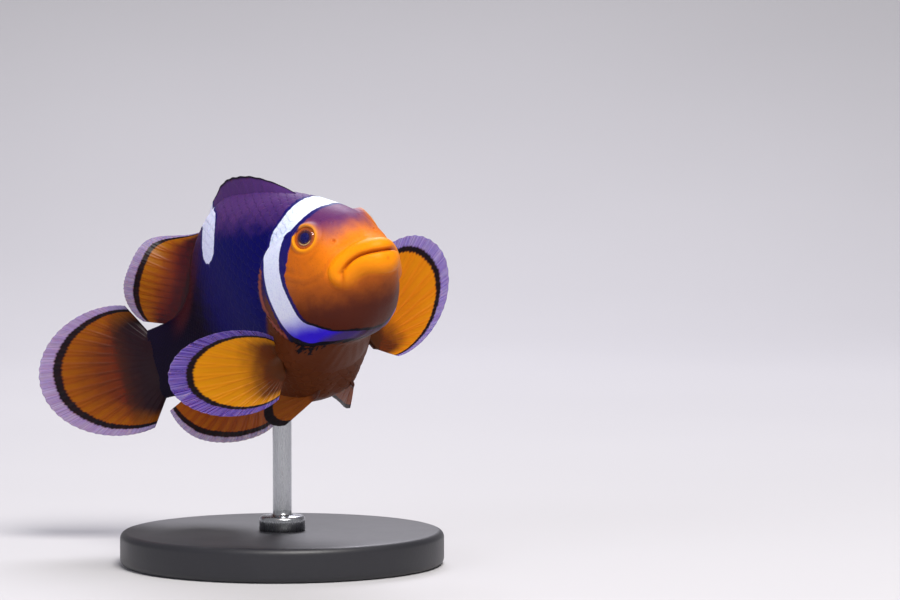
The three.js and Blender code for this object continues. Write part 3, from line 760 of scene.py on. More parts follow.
skinFinish = skinMaterial("wetSkin", 0.42, 0.00006, 0.17)
scaleFinish = skinMaterial("scaleSkin", 0.46, 0.00002, 0.1)
spinyFinFinish = skinMaterial("spinyFinSkin", 0.46, 0.00006, 0.12, edge=0.84)
print("markings and materials ready")


# Skin

skinGrid = {
    "rings": 400, "sides": 244, "tailEnd": (100.6, 0, 0.3),
    # where the rings and the sides of each ring crowd together, and by how much
    "eyeBoost": 5.0, "headBoost": 4.0, "snoutBoost": 22.0, "bodyDensity": 1.7,
    "sideBoost": 1.6, "eyeAngle": 55.0, "sideSoftness": 16.0,
}


# Places where a running sum of "density" reaches even steps
def evenSteps(values, density, count, closed=False):
    total = np.concatenate([[0], np.cumsum((density[1:] + density[:-1]) / 2 * np.diff(values))])
    return np.interp(np.linspace(0, total[-1], count + (1 if closed else 0)), total, values)[:count]


# Rings of section points with their relief from the snout to the tail, crowded where the relief is fine
def makeSkin():
    g = skinGrid
    stations = np.linspace(0.0, 10.0, 4001) ** 2
    density = (g["bodyDensity"] + g["headBoost"] * (1 - ease((stations - 24) / 10))
               + g["snoutBoost"] * bump(stations, 2.0)
               + g["eyeBoost"] * bump(stations - eye["centre"][0], 4.2))
    degrees = np.linspace(-180.0, 180.0, 3601)
    crowd = 1 + g["sideBoost"] * bump(np.abs(degrees) - g["eyeAngle"], g["sideSoftness"])
    rings = evenSteps(stations, density, g["rings"])
    sides = np.radians(evenSteps(degrees, crowd, g["sides"], closed=True))
    along, angle = np.meshgrid(rings, sides, indexing="ij")
    points, masks = skinPoint(along, angle)
    ends = np.array([[points[0, :, 0].mean(), 0, points[0, :, 2].mean()], g["tailEnd"]])
    made = closedTube("bodySkin", placeFish(points), placeFish(ends))
    addAttribute(made, "fishPlace", np.concatenate([sectionPoint(along, angle).reshape(-1, 3), ends]))
    addAttribute(made, "turn", np.append(np.abs(angle) / np.pi, [0.5, 0.5]))
    for key, mask in masks.items():
        addAttribute(made, key, np.append(mask, [0, 0]))
    made.data.materials.append(skinFinish)
    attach(made, "root")
    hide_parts("head", "lower_jaw", "gill_cover_left", "gill_cover_right", "trunk", "tail_stem")


makeSkin()
print("skin made")


# Scales

scales = {
    "columns": 46, "from": 20.0, "to": 99.0,
    "pitch": 0.62,          # from row to row, as a share of a scale's width
    "overlap": 1.9,         # a scale's length over the step to the next row
    "rise": 0.16, "thickness": 0.05, "rounds": 10,
    "sink": 0.02, "footDepth": 0.25,      # of its face below the skin, and of the middle of its underside
    # no scale ahead of bareHead, nearer than bareGill to the gill cover's edge, below bareKeel, or
    # ahead of and below bareThroat
    "bareHead": 20.5, "bareGill": 1.3, "bareKeel": -27.0, "bareThroat": (31.0, -9.0),
}


# Arc length of the section round from the back, at each angle
def perimeterTable(along, angles):
    points = sectionPoint(along[:, None], angles[None, :])
    steps = np.linalg.norm(np.diff(points, axis=1), axis=-1)
    return np.concatenate([np.zeros((len(along), 1)), np.cumsum(steps, axis=1)], axis=1)


def halfPerimeterAt(along):
    return perimeterTable(np.atleast_1d(along), np.linspace(0, np.pi, 181))[:, -1]


tableAlong, tableAngles = np.linspace(8, 100, 185), np.linspace(0, np.pi, 361)
arcTable = perimeterTable(tableAlong, tableAngles)
halfRound = arcTable[:, -1]


# The angle that lies the signed arc length "arc" round from the back, read between the rows and
# columns of a table of angles at even shares of the half perimeter. An arc that runs past the back
# or the keel comes up on the other side.
def angleAtArc(along, arc):
    row = np.clip((along - tableAlong[0]) / (tableAlong[1] - tableAlong[0]), 0, len(tableAlong) - 1.001)
    low = row.astype(int)
    share = row - low
    reach = halfRound[low] * (1 - share) + halfRound[low + 1] * share
    past = np.abs(arc) > reach
    sign = np.where(arc < 0, -1, 1) * np.where(past, -1, 1)
    arc = np.where(past, 2 * reach - np.abs(arc), np.abs(arc))
    steps = len(tableAngles) - 1
    evenShares = np.linspace(0, 1, steps + 1)
    angles = np.stack([np.interp(evenShares, arcs / arcs[-1], tableAngles) for arcs in arcTable])
    column = np.clip(arc / reach * steps, 0, steps - 0.001)
    c = column.astype(int)
    s = column - c
    before, after = ((1 - s) * angles[i, c] + s * angles[i, c + 1] for i in (low, low + 1))
    return sign * ((1 - share) * before + share * after)


# Each scale is a thin closed shield: centre, a flat ring at 0.86 of its outline, the outline,
# the outline's underside, and a centre below. It tilts up to the rear and hugs the skin, whose
# point it reads at its own along and angle.
def scaleShields(name, centreAlong, centreArc, lengths, widths, rise):
    k = scales["rounds"]
    turn = np.linspace(0, 2 * np.pi, k, endpoint=False)
    outline = np.stack([np.cos(turn), np.sin(turn)], -1)
    local = np.concatenate([np.zeros((1, 2)), 0.86 * outline, outline, outline, np.zeros((1, 2))])
    under = np.arange(len(local)) > 2 * k
    crown = (0.5 + 0.5 * local[:, 0]) * (1 - 0.35 * local[:, 1] ** 2)
    lift = rise[:, None] * crown - scales["sink"] - under * scales["thickness"]
    lift[:, -1] = -scales["footDepth"]
    along = centreAlong[:, None] + 0.5 * lengths[:, None] * local[:, 0]
    arc = centreArc[:, None] + np.sign(centreArc)[:, None] * 0.5 * widths[:, None] * local[:, 1]
    angle = angleAtArc(along, arc)
    points = skinPoint(along, angle)[0] + outwardAt(along, angle) * lift[..., None]
    first = np.arange(k)
    after = (first + 1) % k
    top = np.stack([0 * first, 1 + first, 1 + after], -1)
    bottom = np.stack([1 + 2 * k + first, 0 * first + len(local) - 1, 1 + 2 * k + after], -1)
    bands = [np.stack([i + first, i + k + first, i + k + after, i + after], -1) for i in (1, 1 + k)]
    starts = np.arange(len(along))[:, None, None] * len(local)
    triangles, quads = np.concatenate([top, bottom]) + starts, np.concatenate(bands) + starts
    made = newObject(name, placeFish(points.reshape(-1, 3)), [triangles.reshape(-1, 3), quads.reshape(-1, 4)])
    facesOut(made)
    addAttribute(made, "fishPlace", sectionPoint(along, angle).reshape(-1, 3))
    addAttribute(made, "turn", np.abs(angle).ravel() / np.pi)
    # a patch about 0.003 across at the scale's root on an unwrap of the skin: along by turn
    rootTurn = centreArc / np.interp(centreAlong, tableAlong, halfRound)
    root = np.stack([centreAlong / 100, 0.5 + 0.5 * rootTurn], -1)
    addMap(made, "OFBake", (root[:, None, :] + 0.0015 * local).reshape(-1, 2))
    made.data.materials.append(scaleFinish)
    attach(made, "root")


# Rows of scales as (along, arc, width), each row as far behind the last as "pitch" times the
# scale's width, every other row half a scale round
def scaleRows():
    rows, along, columns = [], scales["from"], scales["columns"]
    while along < scales["to"]:
        whole = 2 * halfPerimeterAt(along)[0]
        width = whole / columns
        arc = ((np.arange(columns) + 0.5 * (len(rows) % 2)) / columns - 0.5) * whole
        rows.append(np.stack([np.full(columns, along), arc, np.full(columns, width)], -1))
        along += scales["pitch"] * width
    return np.concatenate(rows)


def makeScales():
    rng = np.random.default_rng(7)
    along, arc, width = scaleRows().T
    arc = np.where(np.abs(arc) < 1e-6, 1e-3, arc)       # a scale on the ridge belongs to the left coat
    coarse = np.linspace(8, 100, 93)
    angle = arc / np.interp(along, coarse, halfPerimeterAt(coarse)) * np.pi
    spots = sectionPoint(along, angle)
    g, rear = gillEdge(spots)
    keep = (along > scales["bareHead"]) & ((rear < 0.5) | (g > scales["bareGill"]))
    keep &= spots[:, 2] > scales["bareKeel"]
    throatEnd, throatTop = scales["bareThroat"]
    keep &= (along >= throatEnd) | (spots[:, 2] >= throatTop)
    along, arc, width = along[keep], arc[keep], width[keep]
    length = width * scales["pitch"] * scales["overlap"] * rng.uniform(0.95, 1.05, len(width))
    rise = scales["rise"] * rng.uniform(0.85, 1.15, len(width)) * np.clip(width / 1.6, 0.55, 1)
    for name, chosen in (("scalesLeft", arc > 0), ("scalesRight", arc <= 0)):
        scaleShields(name, along[chosen], arc[chosen], length[chosen], 1.08 * width[chosen], rise[chosen])
        print(name, int(chosen.sum()), "scales")


makeScales()


# Eyes

paint.update({
    "irisInner": (66, 30, 48), "irisOuter": (216, 108, 34), "irisFibres": (110, 44, 22),
    "irisEdge": (110, 48, 22), "goldHighlight": (226, 182, 116), "pupil": (12, 5, 92),
})


def irisMaterial():
    material, n, shader = newMaterial("iris")
    ring = n.vector("eyePlace")
    share, bearing, _ = n.split(ring)
    fibres = n.noise(ring, 3.0, 3, 0.6, (1.0, 7.0, 1.0))
    flecks = n.noise(ring, 2.2, 3, 0.6)
    colour = n.mix(n.smooth((flecks - 0.5) * 0.3 + share, 1.5, 2.25), "irisInner", "irisOuter")
    colour = n.mix(n.smooth(fibres, 0.42, 0.7) * 0.45, colour, "irisFibres")
    colour = n.mix(n.smooth(share, 2.35, 2.6), colour, "irisEdge")
    # a broken gold crescent below the pupil, a painted highlight on the lower iris
    lowSide = n.smooth(flecks * 0.9 + n.maths("COSINE", bearing), 0.2, -0.35)
    highlightCrescent = n.smooth(n.maths("ABSOLUTE", share - 1.6), 0.16, 0.04)
    colour = n.mix(highlightCrescent * lowSide, colour, "goldHighlight")
    colour = n.mix(n.smooth(share, eye["pupil"] + 0.08, eye["pupil"] - 0.02), colour, "pupil")
    n.fill(shader, {"Base Color": colour, "Roughness": 0.4, "Specular IOR Level": 0.12})
    n.relief(shader, fibres, 0.4, 0.00006)
    return material


# Almost clear: only its highlights show
def corneaMaterial():
    material, n, shader = newMaterial("cornea")
    n.fill(shader, {
        "Base Color": (0.02, 0.02, 0.03, 1), "Roughness": 0.05, "Specular IOR Level": 1.0, "Alpha": 0.12,
    })
    return material


# A surface of revolution about the eye's axis: profile rows of (distance from the axis, height).
# eyePlace holds the distance, or 4 on the back of the ball, and the bearing.
def eyeSurface(name, profile, sign, material):
    mirror = np.array([1, sign, 1])
    axis, centre = unitVector(np.array(eye["axis"])) * mirror, np.array(eye["centre"]) * mirror
    upright = unitVector(np.array([0.0, 0.0, 1.0]) - axis * axis[2])
    turn = np.linspace(0, 2 * np.pi, eye["around"], endpoint=False)
    outward = np.cos(turn)[:, None] * upright + np.sin(turn)[:, None] * np.cross(axis, upright)
    r, h = profile[1:-1].T[..., None]
    points = centre + h[..., None] * axis + r[..., None] * outward
    ends = centre + profile[[0, -1], 1:] * axis
    made = closedTube(name, placeFish(points), placeFish(ends))
    place = np.stack(np.broadcast_arrays(np.where(h < 0, 4.0, r), turn, 0.0), -1).reshape(-1, 3)
    addAttribute(made, "eyePlace", np.concatenate([place, [[0, 0, 0], [4, 0, 0]]]))
    made.data.materials.append(material)
    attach(made, "root")
    return made


def makeEyes():
    iris, cornea = irisMaterial(), corneaMaterial()
    pupil, opening = eye["pupil"], eye["opening"]
    # the lens' dome, a step down to the iris, its slope out to the opening, then the ball
    across = np.linspace(0, 1, 10)
    lensFoot = eye["irisTop"] - 0.1
    dome = lensFoot + (eye["lensTop"] - lensFoot) * np.sqrt(1 - 0.98 * across ** 2)
    lens = np.stack([pupil * across, dome], -1)
    share = np.linspace(0, 1, 14)
    slopeAcross = pupil + 0.02 + share * (opening + 0.08 - pupil)
    slope = np.stack([slopeAcross, eye["irisTop"] - 0.28 * share ** 1.4], -1)
    tilt = np.radians(np.linspace(eye["ballStart"], 180, 26))
    ball = (eye["radius"] - 0.1) * np.stack([np.sin(tilt), np.cos(tilt)], -1)
    ball[-1, 0] = 0
    # the cornea: an outer cap over the opening and an inner one just below it
    rim, rise = opening + 0.15, eye["corneaHeight"] - eye["corneaFoot"]
    radius = (rim ** 2 + rise ** 2) / (2 * rise)
    lean = np.linspace(0, math.asin(rim / radius), 22)
    caps = [
        np.stack([size * np.sin(lean), eye["corneaHeight"] - radius + size * np.cos(lean)], -1)
        for size in (radius, radius - eye["corneaThickness"])
    ]
    for sign, side, node in ((1, "Left", "eye_left"), (-1, "Right", "eye_right")):
        ballPiece = eyeSurface("eyeball" + side, np.concatenate([lens, slope, ball]), sign, iris)
        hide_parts(node)
        eyeSurface("cornea" + side, np.concatenate([caps[0], caps[1][::-1]]), sign, cornea)


makeEyes()
print("eyes made")


# Fins. A fin is a grid of u, from its first ray to its last, and v, from its root to its rim.

# Length of a ray at the angle t off the middle of a round fin, whose outline is an ellipse through
# the root: length cos t / (cos^2 t + slimness sin^2 t)
def roundFin(length, slimness, spread):
    def reach(u):
        t = np.radians(spread) * (2 * u - 1)
        return length * np.cos(t) / (np.cos(t) ** 2 + slimness * np.sin(t) ** 2)
    return reach


# A rounded hump and then a low strip up to the rear dorsal fin
def frontDorsalLength(u):
    hump = 5.0 * np.sin(np.pi * (0.02 + 0.85 * np.minimum(u / 0.815, 1) ** 0.9))
    return 1.7 + hump - 1.4 * ease((u - 0.85) / 0.15)


# A power of a half sine wave, cut low at the first rays
def rearDorsalLength(u):
    return (3 + 18 * np.sin(np.pi * (0.1 + 0.82 * u)) ** 0.9) * (1 - 0.7 * (1 - ease(u / 0.35)) ** 2)


def analLength(u):
    return 4.5 + 11.5 * np.sin(np.pi * (0.1 + 0.76 * u)) ** 0.8


def pelvicLength(u):
    return 19 * (1 - 0.3 * np.abs(2 * u - 1) ** 2.2)


# What both fins of a pair share
pectoral = {
    "slot": "yellow_fin", "kind": "paired", "place": (35.5, 11.6, -18.5), "halfBase": 2.4, "spread": 62,
    "curl": -1.5, "wave": 0.8, "across": (0.12, 0, 1), "rays": 19,
}
pelvic = {
    "slot": "orange_fin", "kind": "paired", "place": (36, 4.2, -25.5), "halfBase": 1.3, "spread": 17,
    "curl": 0.8, "wave": 0.4, "across": (0.05, 0.3, -0.95), "rays": 7, "pinch": 0.75, "length": pelvicLength,
    "look": {
        "Root": (72, 32, 14), "Body": (132, 68, 4), "Outer": (132, 68, 4),
        "Band": (12, 5, 12), "Rim": (40, 24, 40),
        "Root end": 0.25, "Band start": 0.84, "Band end": 1.05, "Rim clearness": 0.0,
    },
}
# A look has screen colours and places of v, in the words of the finPattern group. The front dorsal
# fin has none, because it wears the skin's markings.
fins = {
    "frontDorsal": {
        "node": "dorsal_fin_front", "slot": "dark_fin", "kind": "median", "sign": 1, "from": 24, "to": 64.5,
        "angles": (55, 86), "root": 1.6, "lean": 0, "wave": 0.4, "rays": 12, "spiny": True, "fleshy": 3.0,
        "length": frontDorsalLength,
    },
    "rearDorsal": {
        "node": "dorsal_fin_rear", "slot": "orange_fin", "kind": "median", "sign": 1, "from": 66, "to": 90.5,
        "angles": (42, 26), "root": 1.6, "lean": 32, "wave": 0.9, "rays": 16, "length": rearDorsalLength,
        "look": {
            "Root": (40, 12, 22), "Body": (112, 52, 2), "Outer": (128, 72, 2),
            "Band": (12, 6, 14), "Rim": (108, 90, 140),
            "Root end": 0.66, "Band start": 0.78, "Band end": 0.87, "Rim clearness": 0.4,
        },
    },
    "analFin": {
        "node": "anal_fin", "slot": "orange_fin", "kind": "median", "sign": -1, "from": 67, "to": 89,
        "angles": (52, 22), "root": 1.6, "lean": 12, "wave": 0.7, "rays": 13, "length": analLength,
        "look": {
            "Root": (62, 20, 14), "Body": (112, 50, 4), "Outer": (122, 60, 4),
            "Band": (12, 6, 14), "Rim": (100, 84, 136),
            "Root end": 0.4, "Band start": 0.82, "Band end": 0.91, "Rim clearness": 0.4,
        },
    },
    "tailFin": {
        "node": "tail_fin", "slot": "orange_fin", "kind": "tail", "from": 97, "up": 0.3, "halfBase": 6.6,
        "spread": 58, "rise": 8, "wave": 1.2, "rays": 19, "wedge": 2.9, "length": roundFin(29.3, 1.8, 58),
        "look": {
            # Body and Outer: the tail's orange darkened to brown as painted shade
            "Root": (30, 11, 20), "Body": (74, 33, 8), "Outer": (112, 58, 0),
            "Band": (10, 5, 14), "Rim": (116, 96, 146),
            "Root end": 0.52, "Band start": 0.81, "Band end": 0.885, "Rim clearness": 0.35,
        },
    },
    "pectoralRight": {
        **pectoral, "node": "pectoral_fin_right", "side": -1, "axis": (0, 1, 0.15),
        "length": roundFin(29.3, 3.1, 62),
        "look": {
            # Root: dark brown where the fin meets the body, painted shade
            "Root": (70, 32, 6), "Body": (170, 106, 0), "Outer": (176, 112, 0),
            "Band": (12, 5, 12), "Rim": (54, 32, 132),
            "Root end": 0.42, "Band start": 0.78, "Band end": 0.845, "Rim clearness": 0.4,
        },
    },
    "pectoralLeft": {
        **pectoral, "node": "pectoral_fin_left", "side": 1, "axis": (-0.13, 0.86, 0.56),
        "length": roundFin(32, 2.75, 62),
        "look": {
            # Root: dark brown where the fin meets the body, painted shade
            "Root": (70, 32, 6), "Body": (176, 98, 0), "Outer": (182, 106, 0),
            "Band": (12, 5, 12), "Rim": (84, 62, 150),
            "Root end": 0.34, "Band start": 0.835, "Band end": 0.895, "Rim clearness": 0.4,
        },
    },
    "pelvicRight": {**pelvic, "node": "pelvic_fin_right", "side": -1, "axis": (-0.92, 0.3, 0.02)},
    "pelvicLeft": {**pelvic, "node": "pelvic_fin_left", "side": 1, "axis": (-0.97, 0.12, -0.02)},
}


# A fin on the middle line: its rays stand at an angle on the ridge or keel and lean to the right
def medianRay(fin, u, reach, v):
    edge = backAt if fin["sign"] > 0 else bellyAt
    along = fin["from"] + (fin["to"] - fin["from"]) * u
    angle = np.radians(fin["angles"][0] + (fin["angles"][1] - fin["angles"][0]) * u)
    lean = math.radians(fin["lean"]) * ease(u / 0.5)
    height = reach * np.sin(angle)
    side = -height * np.sin(lean) + fin["wave"] * np.sin(2.2 * np.pi * u + 0.6) * v * v
    up = edge(along) - fin["sign"] * fin["root"] + fin["sign"] * height * np.cos(lean)
    return np.stack([along + reach * np.cos(angle), side, up], -1)


# A fan of rays from an upright root line at the end of the tail stem, in a gentle wave
def tailRay(fin, u, reach, v):
    share = 2 * u - 1
    angle = np.radians(fin["spread"] * share + fin["rise"])
    side = fin["wave"] * np.sin(np.pi * share) * v * v
    return np.stack([fin["from"] + reach * np.cos(angle), side,
                     fin["up"] + fin["halfBase"] * share + reach * np.sin(angle)], -1)


# A small fin's root is drawn together where it enters the body
def pinched(fin, v):
    return 1 - fin.get("pinch", 0) * (1 - ease(v / 0.12))


# A paired fin: a fan of rays about "axis" from a root line along "across", both (forward, outward, up)
def pairedRay(fin, u, reach, v):
    share = 2 * u - 1
    axis = unitVector(np.array(fin["axis"], float))
    across = np.array(fin["across"], float)
    across = unitVector(across - axis * (axis @ across))
    normal = np.cross(across, axis)
    angle = math.radians(fin["spread"]) * share
    curl = fin["curl"] * v * v + fin["wave"] * np.sin(1.5 * np.pi * share) * v * v
    place = np.array(fin["place"], float) * [-1, 1, 1]
    base = fin["halfBase"] * share * pinched(fin, v)
    point = (place + axis * (reach * np.cos(angle))[..., None] + normal * curl[..., None]
             + across * (base + reach * np.sin(angle))[..., None])
    return point * [-1, fin["side"], 1]


rayMakers = {"median": medianRay, "tail": tailRay, "paired": pairedRay}
finGrid = {
    "perRay": 12, "out": 72, "nudge": 0.004,
    "membrane": 0.2, "ray": 0.24, "rootThickness": 1.5, "rootReach": 0.2, "wedgeFrom": 2.0, "wedgeReach": 9.0,
    "spineNotch": 0.03, "scallop": 0.007, "flutter": 0.06,
}


# Thickness over the fin: a thin membrane, a round ray that splits in two about half way out and
# again near the rim, a fleshy root and the tail's wedge. "away" is the distance from the nearest
# ray, 1 from ray to ray, and "back" the distance from the root's line.
def finThickness(fin, u, v, away, back):
    g = finGrid
    if fin.get("spiny"):
        ray = bump(away, 0.12 * (1.15 - 0.5 * v)) * (0.8 - 0.4 * v)
    else:
        first, second = 0.16 * ease((v - 0.35) / 0.45), 0.07 * ease((v - 0.68) / 0.3)
        branches = (np.maximum(first - second, 0), first + second)
        ray = sum(0.75 * bump(away - branch, 0.085) for branch in branches)
        ray = np.minimum(ray, 1) * (1 - 0.55 * v) * (0.08 + 0.92 * ease(v / 0.6))
        ray = ray * (0.93 + 0.07 * np.cos(2 * np.pi * v * 30))      # the rays' joints
    body = g["membrane"] * (1 - 0.45 * v) + g["ray"] * ray
    root = g["rootThickness"] * (1 - ease(v / g["rootReach"])) ** 1.5 * pinched(fin, v)
    root = root + fin.get("fleshy", 0) * (1 - v) ** 1.2 * np.sqrt(ease(np.minimum(u, 1 - u) / 0.15))
    wedge = fin.get("wedge", 0) * (1 - ease((back - g["wedgeFrom"]) / g["wedgeReach"]))
    return body + root + wedge * np.sqrt(1 - np.abs(2 * u - 1) ** 2.5), ray


# The strip that joins two stacked grids round their edge
def rimQuads(rows, columns):
    i, j = np.arange(rows), np.arange(columns)
    loop = np.concatenate([
        i[:-1] * columns, (rows - 1) * columns + j[:-1],
        i[:0:-1] * columns + columns - 1, j[:0:-1],
    ])
    after = np.roll(loop, -1)
    return np.stack([loop, after, after + rows * columns, loop + rows * columns], -1)


# Ray points at v times the ray's length, then half the thickness to both sides along the normal,
# the cross product of the surface's small steps in u and in v
def makeFin(name, fin, material):
    g = finGrid
    gaps = fin["rays"] - 1
    columns = gaps * g["perRay"] + 1
    outward = 1 - (1 - np.linspace(0, 1, g["out"])) ** 1.15        # closer together near the rim
    u, v = np.meshgrid(np.linspace(0, 1, columns), outward, indexing="ij")
    phase = u * gaps
    away, tips = np.abs(phase - np.round(phase)), np.abs(2 * phase - np.round(2 * phase))
    notch = g["spineNotch"] * ease(away / 0.5) if fin.get("spiny") else g["scallop"] * ease(tips / 0.5)
    reach = v * fin["length"](u) * (1 - notch * ease((v - 0.5) / 0.5))
    rayMaker = rayMakers[fin["kind"]]

    def smoothFin(p, q):
        p, q = np.clip(p, 0, 1), np.clip(q, 0, 1)
        return rayMaker(fin, p, q * fin["length"](p), q)

    acrossRays = smoothFin(u + g["nudge"], v) - smoothFin(u - g["nudge"], v)
    normal = unitVector(np.cross(acrossRays, smoothFin(u, v + g["nudge"]) - smoothFin(u, v - g["nudge"])))
    # how far out from the root's line, which on a fan is reach times the cosine of the ray's angle
    back = reach * np.cos(np.radians(fin.get("spread", 0)) * (2 * u - 1))
    thickness, ray = finThickness(fin, u, v, away, back)
    rimFade = np.minimum(ease((1 - v) / 0.03), ease(np.minimum(u, 1 - u) * gaps / 0.12))
    half = 0.5 * thickness * (0.25 + 0.75 * rimFade)
    flutter = g["flutter"] * np.sin(2 * np.pi * phase * 0.37 + 1.3) * v ** 2
    middle = rayMaker(fin, u, reach, v) + normal * flutter[..., None]
    faces = np.stack([middle + normal * half[..., None], middle - normal * half[..., None]])
    made = newObject(name, placeFish(faces.reshape(-1, 3)), [
        openQuads(columns, g["out"]),
        openQuads(columns, g["out"], columns * g["out"], True),
        rimQuads(columns, g["out"]),
    ])
    facesOut(made)
    addAttribute(made, "finPlace", np.tile(np.stack([phase, v, ray], -1).reshape(-1, 3), (2, 1)))
    addAttribute(made, "fishPlace", faces.reshape(-1, 3))
    addAttribute(made, "rootward", np.tile((back / fin["length"](0.5)).ravel(), 2))
    made.data.materials.append(material)
    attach(made, "root")
    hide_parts(fin["node"])


paint.update({"streakTint": (205, 165, 120), "rayTint": (255, 205, 60), "rimRays": (176, 160, 222)})


# Colours from the root to the rim: base, body, a black band, then a clear rim; rays a little lighter
def makeFinPattern():
    n, given, result = startGroup(
        "finPattern",
        {"Fin": "vector", "Place": "vector", "Rootward": 0.5, "Root": "colour", "Body": "colour",
         "Outer": "colour", "Band": "colour", "Rim": "colour", "Root end": 0.3, "Band start": 0.8,
         "Band end": 0.9, "Rim clearness": 0.5},
        {"Color": "colour", "Alpha": 1.0, "Height": 0.0},
    )
    fin, place = given["Fin"], given["Place"]
    phase, out, ray = n.split(fin)
    ragged = n.noise(fin, 1.6, 3, 0.6, (1.0, 4.0, 0.0)) - 0.5
    soft = n.noise(place, 0.4) - 0.5
    streaks = n.noise(fin, 3.0, 3, 0.6, (3.0, 0.6, 0.0))
    # a small tooth at each ray tip, four to a ray, on top of the ragged line
    teeth = n.maths("SINE", phase * (8 * math.pi)) * 0.004
    away = ragged * 0.035 + out + teeth
    rootShare = n.smooth(soft * 0.12 + given["Rootward"], given["Root end"] * 0.3, given["Root end"])
    colour = n.mix(rootShare, given["Root"], given["Body"])
    colour = n.mix(n.smooth(soft * 0.12 + out, 0.45, 0.8), colour, given["Outer"])
    shaded = n.mix(1.0, colour, "streakTint", "MULTIPLY")
    colour = n.mix(n.smooth(streaks, 0.45, 0.75) * 0.3, colour, shaded)
    colour = n.mix(ray * 0.12, colour, "rayTint", "SOFT_LIGHT")
    inBand = n.smooth(away, given["Band start"] - 0.012, given["Band start"] + 0.012)
    inRim = n.smooth(away, given["Band end"] - 0.012, given["Band end"] + 0.012)
    colour = n.mix(inBand, colour, given["Band"])
    fineRays = n.smooth(n.noise(fin, 3.4, 2, 0.6, (4.0, 0.35, 0.0)), 0.38, 0.66)
    colour = n.mix(inRim, colour, n.mix(fineRays * 0.36, given["Rim"], "rimRays"))
    held = inRim * given["Rim clearness"] * (ray * -0.7 + 1.0)
    n.fill(result, {"Color": colour, "Alpha": 1.0 - held, "Height": streaks * 0.5 + ray})
    return n.tree


finPattern = makeFinPattern()


def finMaterial(name, look):
    material, n, shader = newMaterial(name + "Membrane")
    look = {label: srgb(*value) if isinstance(value, tuple) else value for label, value in look.items()}
    places = {"Fin": n.vector("finPlace"), "Place": n.vector("fishPlace"), "Rootward": n.value("rootward")}
    pattern = n.group(finPattern, {**places, **look})
    n.fill(shader, {
        "Base Color": pattern["Color"], "Roughness": 0.38, "Specular IOR Level": 0.16,
        "Subsurface Weight": 0.25, "Subsurface Radius": (1.0, 0.5, 0.2), "Subsurface Scale": 0.001,
    })
    if look["Rim clearness"] > 0:
        n.fill(shader, {"Alpha": pattern["Alpha"]})
    n.relief(shader, pattern["Height"], 0.4, 0.00005)
    return material


for finName, fin in fins.items():
    finish = finMaterial(finName, fin["look"]) if "look" in fin else spinyFinFinish
    makeFin(finName, fin, finish)
print("fins made")


# Stand, in metres

stand = {
    "radius": 0.024, "height": 0.005, "edge": 0.001, "around": 160,
    "rodRadius": 0.0014, "collarRadius": 0.0034, "collarHeight": 0.0022, "rodAround": 64,
}
paint.update({
    "plasticDark": (30, 30, 34), "plasticLight": (40, 40, 46),
    "steelDark": (166, 169, 174), "steelLight": (198, 200, 204),
})


# A profile of (radius, height) rows turned about Z; the first and last rows lie on the axis
def turnedPiece(name, profile, around):
    turn = np.linspace(0, 2 * np.pi, around, endpoint=False)
    r, h = np.array(profile)[1:-1].T[..., None]
    ends = [[0, 0, profile[0][1]], [0, 0, profile[-1][1]]]
    return closedTube(name, np.stack([r * np.cos(turn), r * np.sin(turn), h + 0 * turn], -1), ends)


def plasticMaterial():
    material, n, shader = newMaterial("satinPlastic")
    place = n.objectPlace()
    broad = n.noise(place, 90.0)
    colour = n.mix(broad, "plasticDark", "plasticLight")
    n.fill(shader, {"Base Color": colour, "Roughness": broad * 0.16 + 0.36})
    n.relief(shader, n.noise(place, 2600.0, 2), 0.35, 0.00005)
    return material


def steelMaterial():
    material, n, shader = newMaterial("brushedSteel")
    brushed = n.noise(n.objectPlace(), 500.0, 3, 0.6, (5.0, 5.0, 0.3))
    colour = n.mix(brushed, "steelDark", "steelLight")
    n.fill(shader, {"Base Color": colour, "Roughness": brushed * 0.14 + 0.2, "Metallic": 1.0})
    return material


def makeStand():
    s = stand
    # the base with two rounded edges and a flat top
    edge, inset, h = s["edge"], s["radius"] - s["edge"], s["height"]
    quarter = np.radians(np.linspace(0, 90, 9))
    foot = np.stack([inset + edge * np.sin(quarter), edge - edge * np.cos(quarter)], -1)
    brow = np.stack([inset + edge * np.cos(quarter), h - edge + edge * np.sin(quarter)], -1)
    rings = np.linspace(1, 0, 8)[1:-1, None]
    top = np.concatenate([rings * inset, 0 * rings + h], -1)
    rows = np.concatenate([[(0, 0)], foot, brow, top, [(0, h)]])
    base = turnedPiece("standBase", rows, s["around"])
    base.data.materials.append(plasticMaterial())
    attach(base, "root")
    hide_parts("stand_base")
    # the rod from the base up into the belly, with a round-edged collar at its foot
    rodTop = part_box("stand_rod")[1].z
    r, c, t = s["rodRadius"], s["collarRadius"], h + s["collarHeight"]
    rows = [(0, h), (c, h), (c, t - 0.0005), (c - 0.0001, t - 0.0002), (c - 0.0004, t), (r + 0.0003, t),
            (r, t + 0.0003)]
    rows += [(r, z) for z in np.linspace(t + 0.001, rodTop, 12)] + [(0, rodTop)]
    rod = turnedPiece("standRod", rows, s["rodAround"])
    rod.data.materials.append(steelMaterial())
    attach(rod, "root")
    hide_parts("stand_rod")


makeStand()
print("stand made")


# Studio: a pale floor that sweeps up behind, and three soft lamps

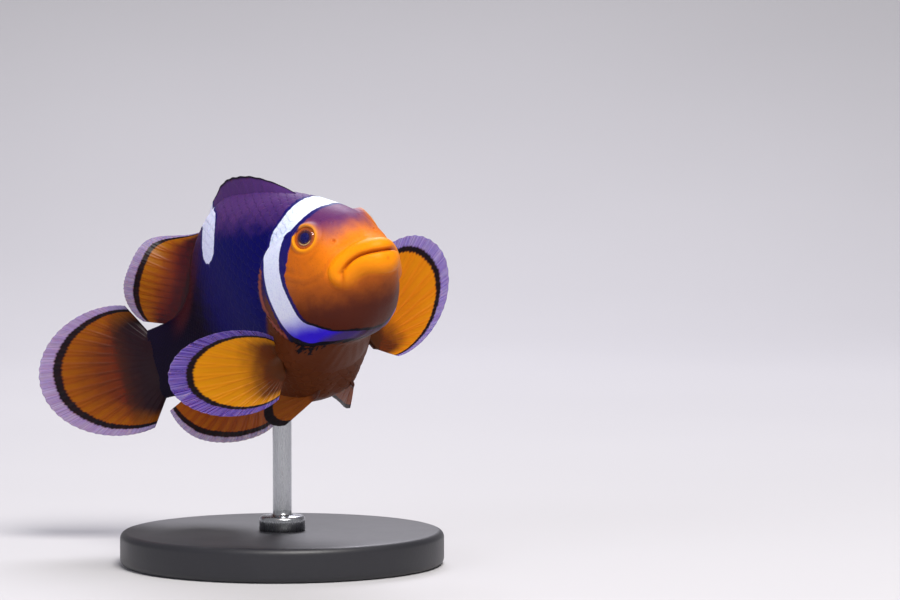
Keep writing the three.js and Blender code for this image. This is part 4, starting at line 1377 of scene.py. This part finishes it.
studio = {
    "floorHalf": 3.0, "sweepFrom": 0.5, "sweepRadius": 0.5, "wallTop": 3.0, "world": 0.36,
    "target": (0, 0, 0.04),
    "lamps": {                 # place, size, power, colour
        "keyLamp": ((0.42, -0.12, 0.62), 0.35, 6.5, (1.0, 0.97, 0.93)),
        "fillLamp": ((0.10, -0.75, 0.30), 0.5, 1.6, (0.86, 0.88, 1.0)),
        "rimLamp": ((-0.45, 0.35, 0.55), 0.35, 3.4, (0.93, 0.91, 1.0)),
    },
}
paint.update({"paperDark": (190, 189, 192), "paperLight": (197, 196, 199)})


# A line of (away from the camera, up) points, flat and then a quarter circle and a wall, drawn
# sideways
def makeFloor():
    s, a = studio, math.radians(camera["azimuth"])
    away, across = np.array([-math.sin(a), math.cos(a), 0.0]), np.array([math.cos(a), math.sin(a), 0.0])
    t = np.radians(np.linspace(0, 90, 24))
    bend = np.stack([s["sweepFrom"] + s["sweepRadius"] * np.sin(t), s["sweepRadius"] * (1 - np.cos(t))], -1)
    line = np.concatenate([[(-s["floorHalf"], 0)], bend, [(s["sweepFrom"] + s["sweepRadius"], s["wallTop"])]])
    width = np.array([-s["floorHalf"], s["floorHalf"]])
    points = line[:, None, :1] * away + line[:, None, 1:] * np.array([0, 0, 1.0]) + width[:, None] * across
    floor = newObject("studioFloor", points.reshape(-1, 3), [openQuads(len(line), 2)])
    material, n, shader = newMaterial("studioPaper")
    patches = n.noise(n.objectPlace(), 6.0, 2)
    n.fill(shader, {"Base Color": n.mix(patches, "paperDark", "paperLight"), "Roughness": 0.85})
    floor.data.materials.append(material)


# A lamp's own z axis points back from the target to the lamp
def makeLight():
    for name, (place, size, power, colour) in studio["lamps"].items():
        data = bpy.data.lights.new(name, "AREA")
        data.shape, data.size, data.energy, data.color = "DISK", size, power, colour
        lamp = bpy.data.objects.new(name, data)
        bpy.context.scene.collection.objects.link(lamp)
        back = unitVector(np.array(place) - np.array(studio["target"]))
        right = unitVector(np.cross([0, 0, 1.0], back))
        lamp.matrix_world = standing(right, np.cross(back, right), back, place)
        lamp.visible_glossy = name != "fillLamp"       # the fill makes no second highlight in the eyes
    world = bpy.data.worlds.new("studioWorld")
    world.use_nodes = True
    background = world.node_tree.nodes["Background"]
    background.inputs["Color"].default_value = (0.88, 0.87, 0.9, 1)
    background.inputs["Strength"].default_value = studio["world"]
    bpy.context.scene.world = world
    bpy.context.scene.view_settings.view_transform = "Standard"


makeFloor()
makeLight()
print("studio made")
